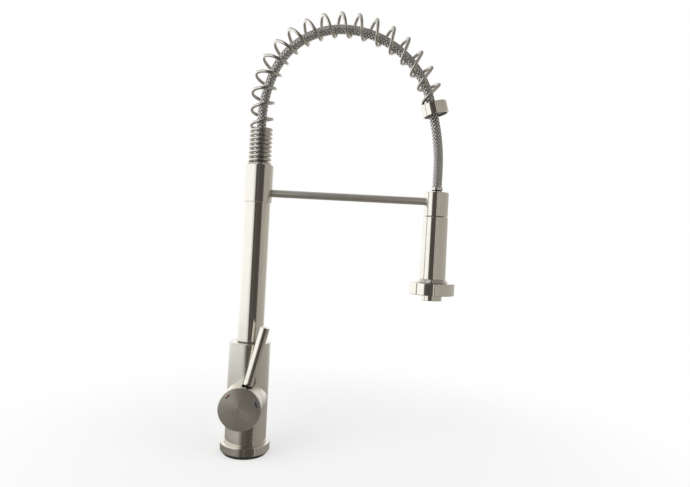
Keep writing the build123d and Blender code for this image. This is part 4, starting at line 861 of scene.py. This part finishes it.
# The braid starts a little below the column's mouth, because deeper down nothing shows.
# The rubber tube in it runs the whole way, near black and seen only between the bands.
BRAID_FROM = 292
CLEAR_OF_COLUMN = 20
braid_sizes = {
    "Braid radius": 4.66 * MM,
    "Band width": 2.35 * MM,
    "Band thickness": 0.22 * MM,
    "Weave height": 0.28 * MM,
    "Lead": 31.4 * MM,
    "Band count": 8,
}
TUBE_R = 4.3
braid_line = [point for point in hose_line if point.x > CLEAR_OF_COLUMN or point.z > BRAID_FROM]
braid = worked("hose_braid", tree, line_piece("braid_line", braid_line), braid_sizes)
core_rubber = grained("hose_rubber", "#262523", "#312F2D", grain=0.6, height=0.02, roughness=0.6)
tube_tree = round_tree("tube along a line", core_rubber)
tube_sizes = {"Radius": TUBE_R * MM, "Side count": 24}
core = worked("hose_tube", tube_tree, line_piece("hose_line", hose_line), tube_sizes)
for piece in (braid, core):
    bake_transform(piece)
    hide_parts("hose")

# The end ring: a short brass sleeve over the spring's last turn, with a moulded plastic
# liner that the hose runs through. It is polished before it is plated, so it mirrors the
# room with only a little blur.
RING_R, RING_WALL = 14, 1.5
RING_BEFORE, RING_AFTER = 8, 5
arch_end = arch(UPRIGHT + RISE + FALL)[0]
ring_centre = arch_end + down * (tip - arch_end).dot(down)
ring_nickel = brushed_nickel(
    "polished_nickel_ring", ring_centre, down, roughness=0.1, stretch=0.3, depth=0.0002
)
ring_outline = sleeve(RING_R - RING_WALL, RING_R, -RING_BEFORE, RING_AFTER)
end_ring = turned_piece("end_ring_turned", ring_outline, ring_nickel, ring_centre, down, edge=0.5)
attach(end_ring, "hose_end")
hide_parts("spring_end_ring")
coat(plastic, "ring_liner")

# The arm and the holder: a solid rod between the collar and a plain sleeve, brazed on,
# brushed and nickel plated, with a plastic liner for the spray head to rest in. The rod's
# satin is the dullest of all, a soft even grey.
ARM_SINK = 0.8
HOLDER_WALL = 3.6
RIGHT = (1, 0, 0)
arm_low, arm_high = box_of("arm_rod")
arm_place = (0, 0, (arm_low.z + arm_high.z) / 2)
arm_start = box_of("collar")[1].x - ARM_SINK
arm_end = holder_low.x + ARM_SINK
arm_outline = sleeve(AXIS_R, (arm_high.z - arm_low.z) / 2, arm_start, arm_end)
arm_nickel = brushed_nickel("brushed_nickel_arm", arm_place, RIGHT, roughness=0.42, stretch=0.75)
arm = turned_piece("arm_turned", arm_outline, arm_nickel, arm_place, RIGHT, edge=0.1, segments=96)
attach(arm, "spout")
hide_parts("arm_rod")
HEAD = (HEAD_X, 0, 0)
holder_r = holder_high.x - HEAD_X
holder_outline = sleeve(holder_r - HOLDER_WALL, holder_r, holder_low.z, holder_high.z)
head_nickel = brushed_nickel("brushed_nickel_head", HEAD, UP)
holder = turned_piece("holder_turned", holder_outline, head_nickel, HEAD, edge=0.6)
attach(holder, "spout")
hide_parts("holder")
coat(plastic, "holder_liner")

# The hose's fittings in the head: a crimped steel ferrule, a brass tail and nut, a rubber
# washer and the moulded plastic waterway. The ferrule is pressed in a die, so it is
# smooth and bright, narrows where it grips and ends in a thicker rim.
CRIMP_GAP = 0.05
FERRULE_BORE = HOSE_R + CRIMP_GAP
GRIP_R, BEAD_R, RIM_R, LIP_R = 5.3, 6.2, 6.3, 5.7
GRIP_DROP, BEAD_DROP, RIM_DROP = 4.4, 3.4, 0.8
ferrule_low, ferrule_high = box_of("hose_ferrule")
ferrule_outline = [
    (FERRULE_BORE, ferrule_low.z),
    (ferrule_high.x - HEAD_X, ferrule_low.z),
    (GRIP_R, ferrule_high.z - GRIP_DROP),
    (BEAD_R, ferrule_high.z - BEAD_DROP),
    (RIM_R, ferrule_high.z - RIM_DROP),
    (LIP_R, ferrule_high.z),
    (FERRULE_BORE, ferrule_high.z),
]
ferrule_steel = brushed_nickel("crimped_steel", HEAD, UP, roughness=0.15, stretch=0.3, depth=0.0002)
ferrule = turned_piece("ferrule_turned", ferrule_outline, ferrule_steel, HEAD, edge=0.6, segments=64)
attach(ferrule, "hose_end")
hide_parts("hose_ferrule")
coat(brass, "hose_tail", "connector_nut")
coat(rubber, "connector_washer")
coat(acetal, "inner_waterway")

# The spray head: a slightly tapered barrel that the hand holds, with a short cone at its
# foot, both brass, brushed round and nickel plated.
BARREL_TOP_R = 13.35
BARREL_WALL = 2.2
BARREL_ROOF = 3.0
BARREL_CHAMFER = 0.4
NUT_GAP = 0.05
WATER_BORE = 7.1
barrel_low, barrel_high = box_of("spray_barrel")
neck_low, neck_high = box_of("neck_ring")
barrel_r = barrel_high.x - HEAD_X
nut_hole = box_of("connector_nut")[1].x - HEAD_X + NUT_GAP
barrel_outline = [
    (nut_hole, barrel_high.z - BARREL_ROOF),
    (nut_hole, barrel_high.z),
    (BARREL_TOP_R - BARREL_CHAMFER, barrel_high.z),
    (BARREL_TOP_R, barrel_high.z - BARREL_CHAMFER),
    (barrel_r, barrel_low.z),
    (barrel_r - BARREL_WALL, barrel_low.z),
    (BARREL_TOP_R - BARREL_WALL, barrel_high.z - BARREL_ROOF),
]
neck_outline = [
    (WATER_BORE, neck_low.z),
    (neck_high.x - HEAD_X, neck_low.z),
    (barrel_r, neck_high.z),
    (WATER_BORE, neck_high.z),
]
barrel = turned_piece("barrel_turned", barrel_outline, head_nickel, HEAD, edge=0.4)
neck = turned_piece("neck_turned", neck_outline, head_nickel, HEAD, edge=0.25)
for piece, node in ((barrel, "spray_barrel"), (neck, "neck_ring")):
    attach(piece, "spray_head")
    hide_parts(node)

# The spray disc: a polished and plated brass cup that turns to change the spray, with a
# black plate and soft silicone nozzles let into its underside. The silicone is a dull
# grey, matt like an eraser.
DISC_WALL, DISC_ROOF = 2.0, 2.3
DISC_MIDDLE = 187
disc_low, disc_high = box_of("spray_disc")
disc_r = disc_high.x - HEAD_X
disc_outline = [
    (WATER_BORE, disc_high.z - DISC_ROOF),
    (WATER_BORE, disc_high.z),
    (disc_r, disc_high.z),
    (disc_r, disc_low.z),
    (disc_r - DISC_WALL, disc_low.z),
    (disc_r - DISC_WALL, disc_high.z - DISC_ROOF),
]
disc_nickel = brushed_nickel(
    "polished_nickel_disc", (HEAD_X, 0, DISC_MIDDLE), UP, roughness=0.1, stretch=0.3, depth=0.0002
)
disc = turned_piece("spray_disc_turned", disc_outline, disc_nickel, HEAD, edge=0.6)
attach(disc, "spray_ring")
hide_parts("spray_disc")
silicone = grained("moulded_grey_silicone", "#7A7A7D", "#6B6B6E", grain=0.4, height=0.01, roughness=0.55)
coat(plastic, "nozzle_plate")
coat(silicone, "spray_nozzles")

# The aerator: a plated brass housing below the disc, with a moulded white insert whose
# small holes mix air into the stream.
coat(head_nickel, "aerator_housing")
coat(acetal, "aerator_insert")
